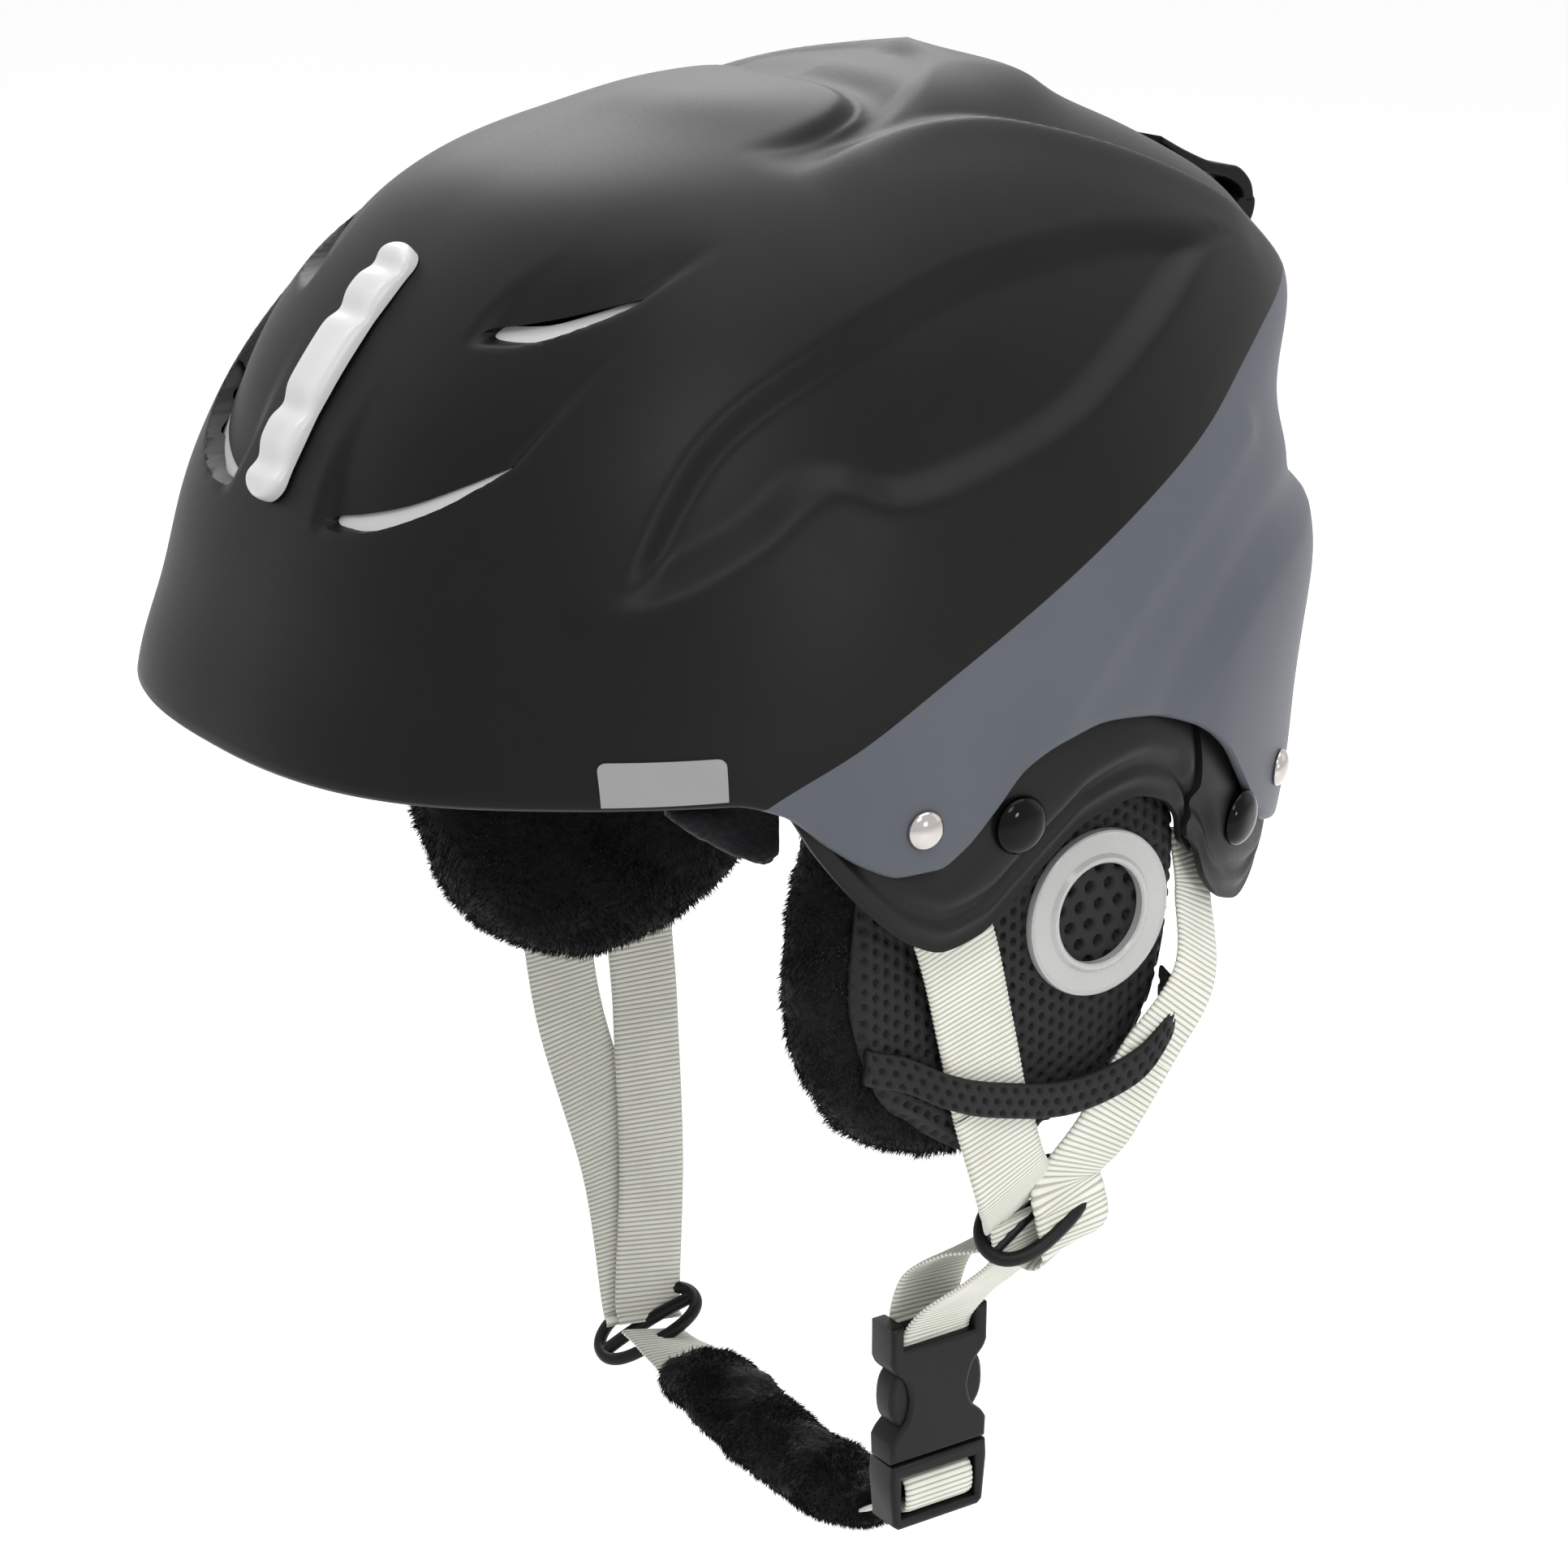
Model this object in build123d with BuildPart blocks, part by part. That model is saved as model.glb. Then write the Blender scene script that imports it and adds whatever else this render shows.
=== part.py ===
"""Ski helmet: shell, foam liner, sliding front vent, soft ear pads and a chin harness with a buckle.

Millimetres, +Z up, the face looks along -Y and the wearer's left is +X. The origin is on the
symmetry plane, level with the brow edge, where the wearer's head holds the helmet.
"""
from math import cos, pi, radians, sin
import os

from build123d import *

os.makedirs("parts", exist_ok=True)

# ---- head form: height, front y, rear y, half width, y of the widest station
LEVELS = [
    (-60, -132, 123, 104, -4),
    (-25, -128, 129, 107, -2),
    (0, -125, 131, 108, 0),
    (20, -118, 132, 107.5, 2),
    (38, -112, 128, 105.5, 4),
    (57, -103, 124, 101, 6),
    (76, -90, 130, 93, 10),
    (95, -72.5, 122, 80, 16),
    (108, -54, 101, 65.5, 22),
    (118, -27, 79, 47, 30),
    (123, -9, 68, 30, 35),
    (125.4, 16, 52, 12, 38),
]
SQUARENESS = 2.5            # exponent of the level outlines, 2 is an ellipse
OUTLINE_POINTS = 28
FORM_HEIGHT = 125.6
FORM_LENGTH = 256.0
FORM_WIDTH = 216.0
FORM_MID_Y = 3.0

# ---- layers, as depths below the outer surface
SHELL_T = 2.6
SKIRT_OUT = 2.9
SKIRT_T = 1.8
FOAM_OUT = 5.0
FOAM_IN = 23.0
PAD_OUT = 23.3
PAD_IN = 29.5

# ---- lower edges in side view, (y, z)
EDGE = [(-62, 0), (-40, -12), (-21, -20.3), (-9, -16), (6, -2), (28, 4),
        (52, -1.5), (72, -18), (87, -34), (102, -38)]
FOAM_EDGE = [(-10, 3), (28, 10), (54, 4), (76, -9), (102, -17)]
SKIRT_EDGE = [(-53, 0), (-43, -14), (-31, -28), (-13, -40), (2, -35), (24, -18), (37, -16), (58, -25)]
TRIM_EDGE = [(60.5, -33), (66, -42), (76, -50), (86, -52.5), (104, -47)]
SKIRT_TOP = 8
TRIM_TOP = 2
FAR = 150

# ---- front vent: the slider and its shutter turn about one axis across the helmet
VENT_Y = 24.0
VENT_Z = -15.5
VENT_R = 146.3
SLIDER_LOW = 25.0           # degrees above the level through the vent axis
SLIDER_HIGH = 48.5
SLIDER_W = 12.0
SLIDER_H = 5.0
SLIDER_LIFT = 0.9           # clear of the shell
SLIDER_SCALLOPS = 4
SLIDER_TRAVEL = 4.2         # degrees up from where it stands
SLIDER_SLACK = 0.8          # degrees down
STEM_W = 4.0
STEM_LOW = 33.0
STEM_HIGH = 38.0
SHUTTER_W = 126.0
SHUTTER_SPINE_W = 26.0
SHUTTER_T = 1.3
SHUTTER_DEPTH = 4.9         # outer face below the slider's arc, on the centreline
SHUTTER_FALL = 0.0031       # how fast the shutter follows the shell inwards, per mm
SHUTTER_LOW = (20.0, 30.0)
SHUTTER_HIGH = (41.0, 50.5)
LOW_VENT = [(21, 46), (40, 49), (61, 61.5), (40, 54)]
HIGH_VENT = [(36, 83), (50, 83.5), (60.5, 91.5), (48, 89.5)]

# ---- goggle clip at the back
CLIP_W = 34.0
CLIP_Y = 134.5
CLIP_Z = 84.0
CLIP_BARREL_R = 2.6
CLIP_PIN_R = 1.2

# ---- fasteners on the sides, (y, z)
FRONT_RIVET = (-20, -11)
REAR_RIVET = (93, -24)
FRONT_SNAP = (4, -14.5)
REAR_SNAP = (74, -29.5)
RIVET_R = 4.2
RIVET_H = 2.3
SHANK_R = 1.8
SNAP_R = 6.3
SNAP_H = 3.2
WASHER_R = 4.5
HEAD_LIFT = 0.9             # underside of a head above the skin's tangent plane

# ---- comfort liner
FLAP_EDGE = [(-66, -4), (-56, -13), (-44, -21), (-38.5, -23)]
FLAP_TOP = 12

# ---- ear pads
EAR_OUT = 93.5
EAR_COVER_T = 2.0
EAR_CORE_IN = 81.0
EAR_IN = 71.0
EAR_EDGE = [(-29, -14), (-36, -43), (-34, -64), (-23, -85), (0, -95), (22, -93),
            (40, -85), (51, -73), (54.5, -58), (52, -38), (44, -14)]
EAR_MID = (9, -54)
CORE_SHARE = 0.86
RING_Y = 35.3
RING_Z = -43.5
RING_R = 18.5
RING_HOLE_R = 11.2
RING_T = 1.7
MESH_R = 12.0
KEEPER_LINE = [(-17, -67), (2, -77), (26, -82.5), (48, -77), (61.5, -67.5)]
KEEPER_SLOT = (-14, 58.6)
KEEPER_W = 6.5
KEEPER_T = 1.6

# ---- webbing and the two dividers that gather it
WEB_W = 19.0
WEB_T = 1.3
CLEAR = 0.3
STRAP_X = EAR_OUT + 1.0 + WEB_T / 2
LEFT_DIVIDER = (84, 27, -114)
RIGHT_DIVIDER = (-75, 26, -206)
DIVIDER_L = 31.0
DIVIDER_W = 18.0
DIVIDER_T = 3.0
DIVIDER_RIM = 3.0

# ---- side release buckle, upright, its width along Y
BUCKLE_X = 57.0
BUCKLE_Y = 20.0
BUCKLE_TOP = -147.0
BUCKLE_JOIN = -181.5
BUCKLE_END = -198.5
BUCKLE_W = 27.0
BUCKLE_T = 9.0
BUCKLE_WALL = 1.5
SOCKET_ROOF = -156.0
PRONG_T = 4.6
PRONG = [(6.6, -181.4), (9.4, -181.4), (9.8, -173), (11.5, -169), (11.5, -161),
         (9.8, -158.6), (7.4, -160), (7.0, -170)]
PLUG_SLOT = (-186.0, -195.6)
PLUG_BAR_R = 1.9
PLUG_BAR_Z = -190.6

# ---- chin pad along the webbing, centre line (x, y, z)
CHIN_LINE = [(-50, 25, -208), (-20, 24.5, -211.5), (10, 23.5, -211), (38, 22, -205)]
CHIN_W = 27.0
CHIN_T = 10.0


def save(piece, name):
    """Label a finished piece and write it as its own file."""
    piece.label = name
    export_step(piece, f"parts/{name}.step")


def save_pair(piece, name):
    """Write a piece made for the wearer's left, and its mirror image for the right."""
    save(piece, f"{name}_left")
    save(mirror(piece, about=Plane.YZ), f"{name}_right")


# ---------------------------------------------------------------- the head form
def outline(level, depth):
    """Points of one level outline, moved in by depth."""
    height, front, rear, half_width, widest = level
    narrow = 1 - 2 * depth / FORM_WIDTH
    short = 1 - 2 * depth / FORM_LENGTH
    points = []
    for step in range(OUTLINE_POINTS):
        turn = 2 * pi * step / OUTLINE_POINTS
        across = abs(cos(turn)) ** (2 / SQUARENESS)
        along = abs(sin(turn)) ** (2 / SQUARENESS)
        x = half_width * (across if cos(turn) > 0 else -across)
        y = widest + ((rear - widest) if sin(turn) > 0 else (front - widest)) * along
        points.append((x * narrow, FORM_MID_Y + (y - FORM_MID_Y) * short))
    return points


def form(depth):
    """The closed solid of the head form, its wall moved in by depth."""
    low = 1 - depth / FORM_HEIGHT
    with BuildPart() as body:
        for level in LEVELS:
            height = level[0] * low if level[0] > 0 else level[0]
            with BuildSketch(Plane.XY.offset(height)):
                with BuildLine():
                    Spline(*outline(level, depth), periodic=True)
                make_face()
        loft()
    return body.part


def half_width_at(y, z):
    """Half width of the head form at a point of the side view, between two levels."""
    for lower, upper in zip(LEVELS, LEVELS[1:]):
        if lower[0] <= z <= upper[0]:
            break
    share = (z - lower[0]) / (upper[0] - lower[0])
    height, front, rear, half_width, widest = [a + (b - a) * share for a, b in zip(lower, upper)]
    reach = (rear - widest) if y > widest else (widest - front)
    along = min(abs(y - widest) / reach, 1)
    return half_width * (1 - along ** SQUARENESS) ** (1 / SQUARENESS)


def skin_plane(y, z, side, depth=0.0):
    """A plane on the side of the form at (y, z), its normal pointing out."""
    sign = 1 if side == "left" else -1
    fore_aft = (half_width_at(y - 2, z) - half_width_at(y + 2, z)) / 4
    up_down = (half_width_at(y, z - 2) - half_width_at(y, z + 2)) / 4
    normal = Vector(sign, fore_aft, up_down).normalized()
    place = Vector(sign * half_width_at(y, z), y, z) - normal * depth
    return Plane(origin=place, x_dir=(0, 1, 0), z_dir=normal)


def above(edge):
    """Face in side view that keeps what lies above a lower edge, which runs on level at both ends."""
    with BuildSketch(Plane.YZ) as keep:
        with BuildLine():
            run = Spline(*edge, tangents=[(1, 0), (1, 0)])
            Polyline(run @ 1, (FAR, edge[-1][1]), (FAR, FAR), (-FAR, FAR), (-FAR, edge[0][1]), run @ 0)
        make_face()
    return keep.sketch


def side_patch(edge, top, back):
    """Face in side view between a curved lower edge and a level top, run on to a back edge."""
    with BuildSketch(Plane.YZ) as patch:
        with BuildLine():
            run = Spline(*edge)
            Polyline(run @ 1, (back, edge[-1][1]), (back, top), (edge[0][0], top), run @ 0)
        make_face()
    return patch.sketch


outer_form = form(0)
shell_inner_form = form(SHELL_T)
skirt_outer_form = form(SKIRT_OUT)
skirt_inner_form = form(SKIRT_OUT + SKIRT_T)
foam_outer_form = form(FOAM_OUT)
foam_inner_form = form(FOAM_IN)
pad_outer_form = form(PAD_OUT)
pad_inner_form = form(PAD_IN)
vent_axis = Axis((0, VENT_Y, VENT_Z), (1, 0, 0))


# ---------------------------------------------------------------- the front vent
def vent_point(radius, angle):
    """(y, z) at a radius and an angle about the vent axis, the angle measured up from the face."""
    return (VENT_Y - radius * cos(radians(angle)), VENT_Z + radius * sin(radians(angle)))


def vent_sector(low, high, inner, outer, width):
    """A curved block about the vent axis, centred across the helmet."""
    middle = (low + high) / 2
    with BuildPart() as block:
        with BuildSketch(Plane.YZ):
            with BuildLine():
                ThreePointArc(vent_point(outer, low), vent_point(outer, middle), vent_point(outer, high))
                Line(vent_point(outer, high), vent_point(inner, high))
                ThreePointArc(vent_point(inner, high), vent_point(inner, middle), vent_point(inner, low))
                Line(vent_point(inner, low), vent_point(outer, low))
            make_face()
        extrude(amount=width / 2, both=True)
    return block.part


def shutter_band(low, high, width, depth, thickness):
    """A dished band that turns about the vent axis, its outer face depth below the slider's arc."""
    half = width / 2
    crest = VENT_R - depth
    side = crest - SHUTTER_FALL * half ** 2
    rise = radians(high)
    with BuildPart() as band:
        with BuildSketch(Plane((0, VENT_Y, VENT_Z), x_dir=(1, 0, 0), z_dir=(0, -sin(rise), -cos(rise)))):
            with BuildLine():
                ThreePointArc((-half, side), (0, crest), (half, side))
                Line((half, side), (half, side - thickness))
                ThreePointArc((half, side - thickness), (0, crest - thickness), (-half, side - thickness))
                Line((-half, side - thickness), (-half, side))
            make_face()
        revolve(axis=vent_axis, revolution_arc=high - low)
    return band.part


def vent_cutter(corners, sign):
    """A tunnel to the front with the lens outline of one vent."""
    tip, low_middle, tail, high_middle = [(sign * x, z) for x, z in corners]
    with BuildPart() as cutter:
        with BuildSketch(Plane.XZ):
            with BuildLine():
                Spline(tip, low_middle, tail)
                Spline(tail, high_middle, tip)
            make_face()
        extrude(amount=FAR)
    return cutter.part


def air_channel(corners, sign):
    """A straight sided tunnel a little larger than one vent, for the foam."""
    (tip_x, tip_z), low_middle, (tail_x, tail_z), high_middle = corners
    tall = (high_middle[1] - low_middle[1]) / 2 + 2
    with BuildPart() as channel:
        with BuildSketch(Plane.XZ):
            with BuildLine():
                Polyline((sign * tip_x, tip_z - tall), (sign * tail_x, tail_z - tall),
                         (sign * tail_x, tail_z + tall), (sign * tip_x, tip_z + tall), close=True)
            make_face()
        extrude(amount=FAR)
    return channel.part


vents = [(LOW_VENT, 1), (LOW_VENT, -1), (HIGH_VENT, 1), (HIGH_VENT, -1)]
stem_slot = vent_sector(STEM_LOW - SLIDER_SLACK - CLEAR, STEM_HIGH + SLIDER_TRAVEL + CLEAR,
                        VENT_R - 12, VENT_R + 12, STEM_W + 0.8)
stem = vent_sector(STEM_LOW, STEM_HIGH, VENT_R - SHUTTER_DEPTH + 0.2, VENT_R + 2, STEM_W)

with BuildPart() as outer_shell:
    add(outer_form)
    add(shell_inner_form, mode=Mode.SUBTRACT)
    extrude(above(EDGE), amount=FAR, both=True, mode=Mode.INTERSECT)
    for corners, sign in vents:
        add(vent_cutter(corners, sign), mode=Mode.SUBTRACT)
    add(stem_slot, mode=Mode.SUBTRACT)
    for side in ("left", "right"):
        for y, z in (FRONT_RIVET, REAR_RIVET):
            with Locations(skin_plane(y, z, side)):
                Cylinder(SHANK_R + 0.1, 16, mode=Mode.SUBTRACT)
save(outer_shell.part, "outer_shell")

# foam liner, with a recess that the shutter turns in and the air channels
with BuildPart() as foam_liner:
    add(foam_outer_form)
    add(foam_inner_form, mode=Mode.SUBTRACT)
    extrude(above(FOAM_EDGE), amount=FAR, both=True, mode=Mode.INTERSECT)
    add(shutter_band(SHUTTER_LOW[0] - 4, SHUTTER_HIGH[1] + 7, SHUTTER_W + 6, -6, 14.5), mode=Mode.SUBTRACT)
    for corners, sign in vents:
        add(air_channel(corners, sign), mode=Mode.SUBTRACT)
save(foam_liner.part, "foam_liner")

slider_foot = VENT_R + SLIDER_LIFT
scallop_pitch = (SLIDER_HIGH - SLIDER_LOW) / SLIDER_SCALLOPS
with BuildPart() as vent_slider:
    add(vent_sector(SLIDER_LOW, SLIDER_HIGH, slider_foot, slider_foot + SLIDER_H, SLIDER_W))
    add(stem)
    for index in range(SLIDER_SCALLOPS):
        y, z = vent_point(slider_foot + 12.5, SLIDER_LOW + scallop_pitch * (index + 0.5))
        with Locations((0, y, z)):
            Cylinder(9.5, SLIDER_W + 2, rotation=(0, 90, 0), mode=Mode.SUBTRACT)
save(vent_slider.part, "vent_slider")

with BuildPart() as vent_shutter:
    add(shutter_band(*SHUTTER_LOW, SHUTTER_W, SHUTTER_DEPTH, SHUTTER_T))
    add(shutter_band(*SHUTTER_HIGH, SHUTTER_W, SHUTTER_DEPTH, SHUTTER_T))
    add(shutter_band(SHUTTER_LOW[1] - 1, SHUTTER_HIGH[0] + 1, SHUTTER_SPINE_W, SHUTTER_DEPTH, SHUTTER_T))
save(vent_shutter.part, "vent_shutter")

# two screws that hold the shutter to the slider's stem, heads inwards
with BuildPart() as slider_screws:
    for angle in (STEM_LOW + 1.2, STEM_HIGH - 1.2):
        y, z = vent_point(VENT_R - SHUTTER_DEPTH - SHUTTER_T - 0.85, angle)
        with Locations(Plane((0, y, z), z_dir=(0, -cos(radians(angle)), sin(radians(angle))))):
            Cylinder(1.9, 1.3)
save(slider_screws.part, "slider_screws")

# ---------------------------------------------------------------- the goggle clip
with BuildPart() as clip_base:
    with BuildSketch(Plane.YZ):
        with BuildLine():
            Polyline((118, 74), (131, 74), (137.0, 80.6), (137.0, 84), (131.0, 86.5), (118, 92), close=True)
        make_face()
    extrude(amount=CLIP_W / 8, both=True)
    add(outer_form, mode=Mode.SUBTRACT)
    with Locations((0, CLIP_Y, CLIP_Z)):
        Cylinder(CLIP_PIN_R + 0.02, CLIP_W + 2, rotation=(0, 90, 0), mode=Mode.SUBTRACT)
save(clip_base.part, "clip_base")

with BuildPart() as clip_pin:
    with Locations((0, CLIP_Y, CLIP_Z)):
        Cylinder(CLIP_PIN_R, CLIP_W - 2, rotation=(0, 90, 0))
save(clip_pin.part, "clip_pin")

with BuildPart() as clip_arm:
    with BuildSketch(Plane.YZ):
        with BuildLine():
            Spline((137.2, 84.0), (138.2, 92.0), (133.5, 98.5), (121.0, 105.2), (109.5, 108.3))
            Line((109.5, 108.3), (109.0, 106.4))
            Spline((109.0, 106.4), (120.5, 102.6), (130.6, 96.0), (134.4, 91.5), (132.6, 84.0))
            Line((132.6, 84.0), (137.2, 84.0))
        make_face()
    extrude(amount=CLIP_W / 2, both=True)
    with Locations((0, CLIP_Y, CLIP_Z)):
        Cylinder(CLIP_BARREL_R, CLIP_W, rotation=(0, 90, 0))
        Box(CLIP_W / 4 + 0.6, 12, 8, mode=Mode.SUBTRACT)
        Cylinder(CLIP_PIN_R + 0.06, CLIP_W + 2, rotation=(0, 90, 0), mode=Mode.SUBTRACT)
save(clip_arm.part, "clip_arm")

# ---------------------------------------------------------------- skirts, trim and fasteners
skirt_face = side_patch(SKIRT_EDGE, SKIRT_TOP, SKIRT_EDGE[-1][0] + 1)
trim_face = side_patch(TRIM_EDGE, TRIM_TOP, FAR)
with BuildPart() as skirt:
    add(skirt_outer_form)
    add(skirt_inner_form, mode=Mode.SUBTRACT)
    extrude(skirt_face, amount=FAR, mode=Mode.INTERSECT)
    for y, z in (FRONT_RIVET, FRONT_SNAP):
        with Locations(skin_plane(y, z, "left")):
            Cylinder(SHANK_R + 0.1, 16, mode=Mode.SUBTRACT)
save_pair(skirt.part, "skirt")

with BuildPart() as rear_trim:
    add(skirt_outer_form)
    add(skirt_inner_form, mode=Mode.SUBTRACT)
    extrude(trim_face, amount=FAR, both=True, mode=Mode.INTERSECT)
    for side in ("left", "right"):
        for y, z in (REAR_RIVET, REAR_SNAP):
            with Locations(skin_plane(y, z, side)):
                Cylinder(SHANK_R + 0.1, 16, mode=Mode.SUBTRACT)
save(rear_trim.part, "rear_trim")


def fasteners(places, depth, head_r, head_h, shank_length):
    """Domed heads on the skin at depth, each with a shank that runs inwards."""
    with BuildPart() as group:
        for y, z, side in places:
            plane = skin_plane(y, z, side, depth)
            with Locations(plane.offset(HEAD_LIFT + 0.15 * head_h)):
                Cylinder(head_r, 0.3 * head_h)
            with Locations(plane.offset(HEAD_LIFT + 0.65 * head_h)):
                Cone(head_r, 0.45 * head_r, 0.7 * head_h)
            with Locations(plane.offset(HEAD_LIFT + 0.1 - shank_length / 2)):
                Cylinder(SHANK_R, shank_length)
    return group.part


def washers(places, depth, thickness):
    """Rings round the shanks, on the inner side."""
    with BuildPart() as group:
        for y, z, side in places:
            with BuildSketch(skin_plane(y, z, side, depth)):
                Circle(WASHER_R)
                Circle(SHANK_R + 0.1, mode=Mode.SUBTRACT)
            extrude(amount=-thickness)
    return group.part


rivet_places = [(y, z, side) for y, z in (FRONT_RIVET, REAR_RIVET) for side in ("left", "right")]
snap_places = [(y, z, side) for y, z in (FRONT_SNAP, REAR_SNAP) for side in ("left", "right")]
washer_depth = SKIRT_OUT + SKIRT_T + 0.9
save(fasteners(rivet_places, 0, RIVET_R, RIVET_H, washer_depth + 1.8), "rivets")
save(washers(rivet_places, washer_depth, 0.8), "rivet_washers")
save(fasteners(snap_places, SKIRT_OUT, SNAP_R, SNAP_H, SKIRT_T + 2.6), "snap_caps")
save(washers(snap_places, washer_depth, 1.2), "snap_sockets")

# blank badge above the brow edge, on the left
with BuildPart() as side_badge:
    with BuildSketch(skin_plane(-72, 5, "left", -0.1)):
        RectangleRounded(27, 9.5, 2)
    extrude(amount=0.7)
save(side_badge.part, "side_badge")


# ---------------------------------------------------------------- comfort liner
def liner_pad(low, high, front, back, half_width, inner=0.0):
    """A pad cut from the layer inside the foam; with inner, only what lies further out on the left."""
    with BuildPart() as pad:
        add(pad_outer_form)
        add(pad_inner_form, mode=Mode.SUBTRACT)
        with BuildSketch(Plane.XY.offset(low)):
            with Locations(((inner + half_width) / 2 if inner else 0, (front + back) / 2)):
                Rectangle(half_width - inner if inner else 2 * half_width, back - front)
        extrude(amount=high - low, mode=Mode.INTERSECT)
    return pad.part


save(liner_pad(-4, 30, -FAR, -48, 90), "brow_pad")
save(liner_pad(72, FAR, -18, 88, 34), "crown_pad")
save(liner_pad(-20, 26, 74, FAR, 62), "nape_pad")
save_pair(liner_pad(14, 48, -40, 66, 100, 40), "side_pad")

with BuildPart() as liner_flap:
    add(pad_outer_form)
    add(pad_inner_form, mode=Mode.SUBTRACT)
    extrude(side_patch(FLAP_EDGE, FLAP_TOP, FLAP_EDGE[-1][0] + 0.5), amount=FAR, mode=Mode.INTERSECT)
    with Locations((0, -48 - FAR / 2, FLAP_TOP / 2 - 4)):
        Box(2 * FAR, FAR + 1, FLAP_TOP + 8.6, mode=Mode.SUBTRACT)
save_pair(liner_flap.part, "liner_flap")


# ---------------------------------------------------------------- ear pads
def ear_outline(share):
    """The pad's outline in side view, shrunk to a share of its size about its middle."""
    points = [(EAR_MID[0] + (y - EAR_MID[0]) * share, EAR_MID[1] + (z - EAR_MID[1]) * share)
              for y, z in EAR_EDGE]
    with BuildSketch(Plane.YZ) as face:
        with BuildLine():
            run = Spline(*points)
            Line(run @ 1, run @ 0)
        make_face()
    return face.sketch


ear_face = ear_outline(1.0)
core_face = ear_outline(CORE_SHARE)
pocket_face = ear_outline(CORE_SHARE + 0.005)
with BuildSketch(Plane.YZ) as keeper_face:
    with BuildLine() as keeper_path:
        Spline(*KEEPER_LINE)
    trace(keeper_path.line, line_width=KEEPER_W)

with BuildPart() as ear_cover:
    extrude(ear_face.moved(Location((EAR_OUT - EAR_COVER_T, 0, 0))), amount=EAR_COVER_T)
    with Locations((EAR_OUT, RING_Y, RING_Z)):
        Cylinder(MESH_R + 0.2, 9, rotation=(0, 90, 0), mode=Mode.SUBTRACT)
save_pair(ear_cover.part, "ear_cover")

fur_out = EAR_OUT - EAR_COVER_T - 0.2
with BuildPart() as ear_core:
    extrude(core_face.moved(Location((EAR_CORE_IN + 0.2, 0, 0))), amount=fur_out - EAR_CORE_IN - 0.2)
save_pair(ear_core.part, "ear_core")

with BuildPart() as ear_fur:
    extrude(ear_face.moved(Location((EAR_IN, 0, 0))), amount=fur_out - EAR_IN)
    extrude(pocket_face.moved(Location((EAR_CORE_IN, 0, 0))), amount=FAR, mode=Mode.SUBTRACT)
save_pair(ear_fur.part, "ear_fur")

with BuildPart() as ear_mesh:
    with Locations((EAR_OUT - EAR_COVER_T / 2, RING_Y, RING_Z)):
        Cylinder(MESH_R, EAR_COVER_T - 0.4, rotation=(0, 90, 0))
save_pair(ear_mesh.part, "ear_mesh")

with BuildPart() as ear_ring:
    with Locations((EAR_OUT + 0.1 + RING_T / 2, RING_Y, RING_Z)):
        Cylinder(RING_R, RING_T, rotation=(0, 90, 0))
        Cylinder(RING_HOLE_R, RING_T, rotation=(0, 90, 0), mode=Mode.SUBTRACT)
save_pair(ear_ring.part, "ear_ring")

# ---------------------------------------------------------------- webbing
def ribbon(stations, width, thickness):
    """A strap through stations of (centre, width direction), straight between them."""
    with BuildPart() as strap:
        for index, (centre, across) in enumerate(stations):
            before = Vector(*stations[max(index - 1, 0)][0])
            after = Vector(*stations[min(index + 1, len(stations) - 1)][0])
            with BuildSketch(Plane(origin=centre, x_dir=across, z_dir=after - before)):
                Rectangle(width, thickness)
        loft(ruled=True)
    return strap.part


FRONT_STRAP = [((98.6, -16, -14), (0, 1, 0.15)), ((97.6, -5, -40), (0, 1, 0.25)),
               ((STRAP_X + 0.4, 2, -62), (0, 1, 0.25)), ((STRAP_X + 0.5, 12, -97), (0, 1, 0.3))]
REAR_STRAP = [((84.0, 69, -33), (-0.45, 1, 0.1)), ((86.6, 68, -47), (-0.5, 1, 0.4)),
              ((STRAP_X + 2.4, 61, -63), (-0.2, 1, 0.9)), ((STRAP_X, 44, -84), (0, 1, 1.2))]


def other_side(stations):
    """The same stations on the right."""
    return [((-x, y, z), (-i, j, k)) for (x, y, z), (i, j, k) in stations]


LEFT_FRONT_END = [((86.5, 21, -110), (0, 1, 0.4))]
LEFT_REAR_END = [((STRAP_X, 35, -98), (0, 1, 0.7)), ((88.5, 30, -106.5), (0, 1, 0.4))]
RIGHT_FRONT_END = [((-92, 15, -125), (0, 1, 0.15)), ((-85, 23, -165), (0, 1, 0.1)),
                   ((-79.5, 25, -200), (0.1, 1, -0.3))]
RIGHT_REAR_END = [((-STRAP_X, 39, -100), (0, 1, 0.6)), ((-90, 36, -125), (0, 1, 0.2)),
                  ((-83, 33, -165), (0, 1, 0.1)), ((-77.5, 28, -199), (0.1, 1, -0.3))]
save(ribbon(FRONT_STRAP + LEFT_FRONT_END, WEB_W, WEB_T), "front_strap_left")
save(ribbon(REAR_STRAP + LEFT_REAR_END, WEB_W, WEB_T), "rear_strap_left")
save(ribbon(other_side(FRONT_STRAP) + RIGHT_FRONT_END, WEB_W, WEB_T), "front_strap_right")
save(ribbon(other_side(REAR_STRAP) + RIGHT_REAR_END, WEB_W, WEB_T), "rear_strap_right")


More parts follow.
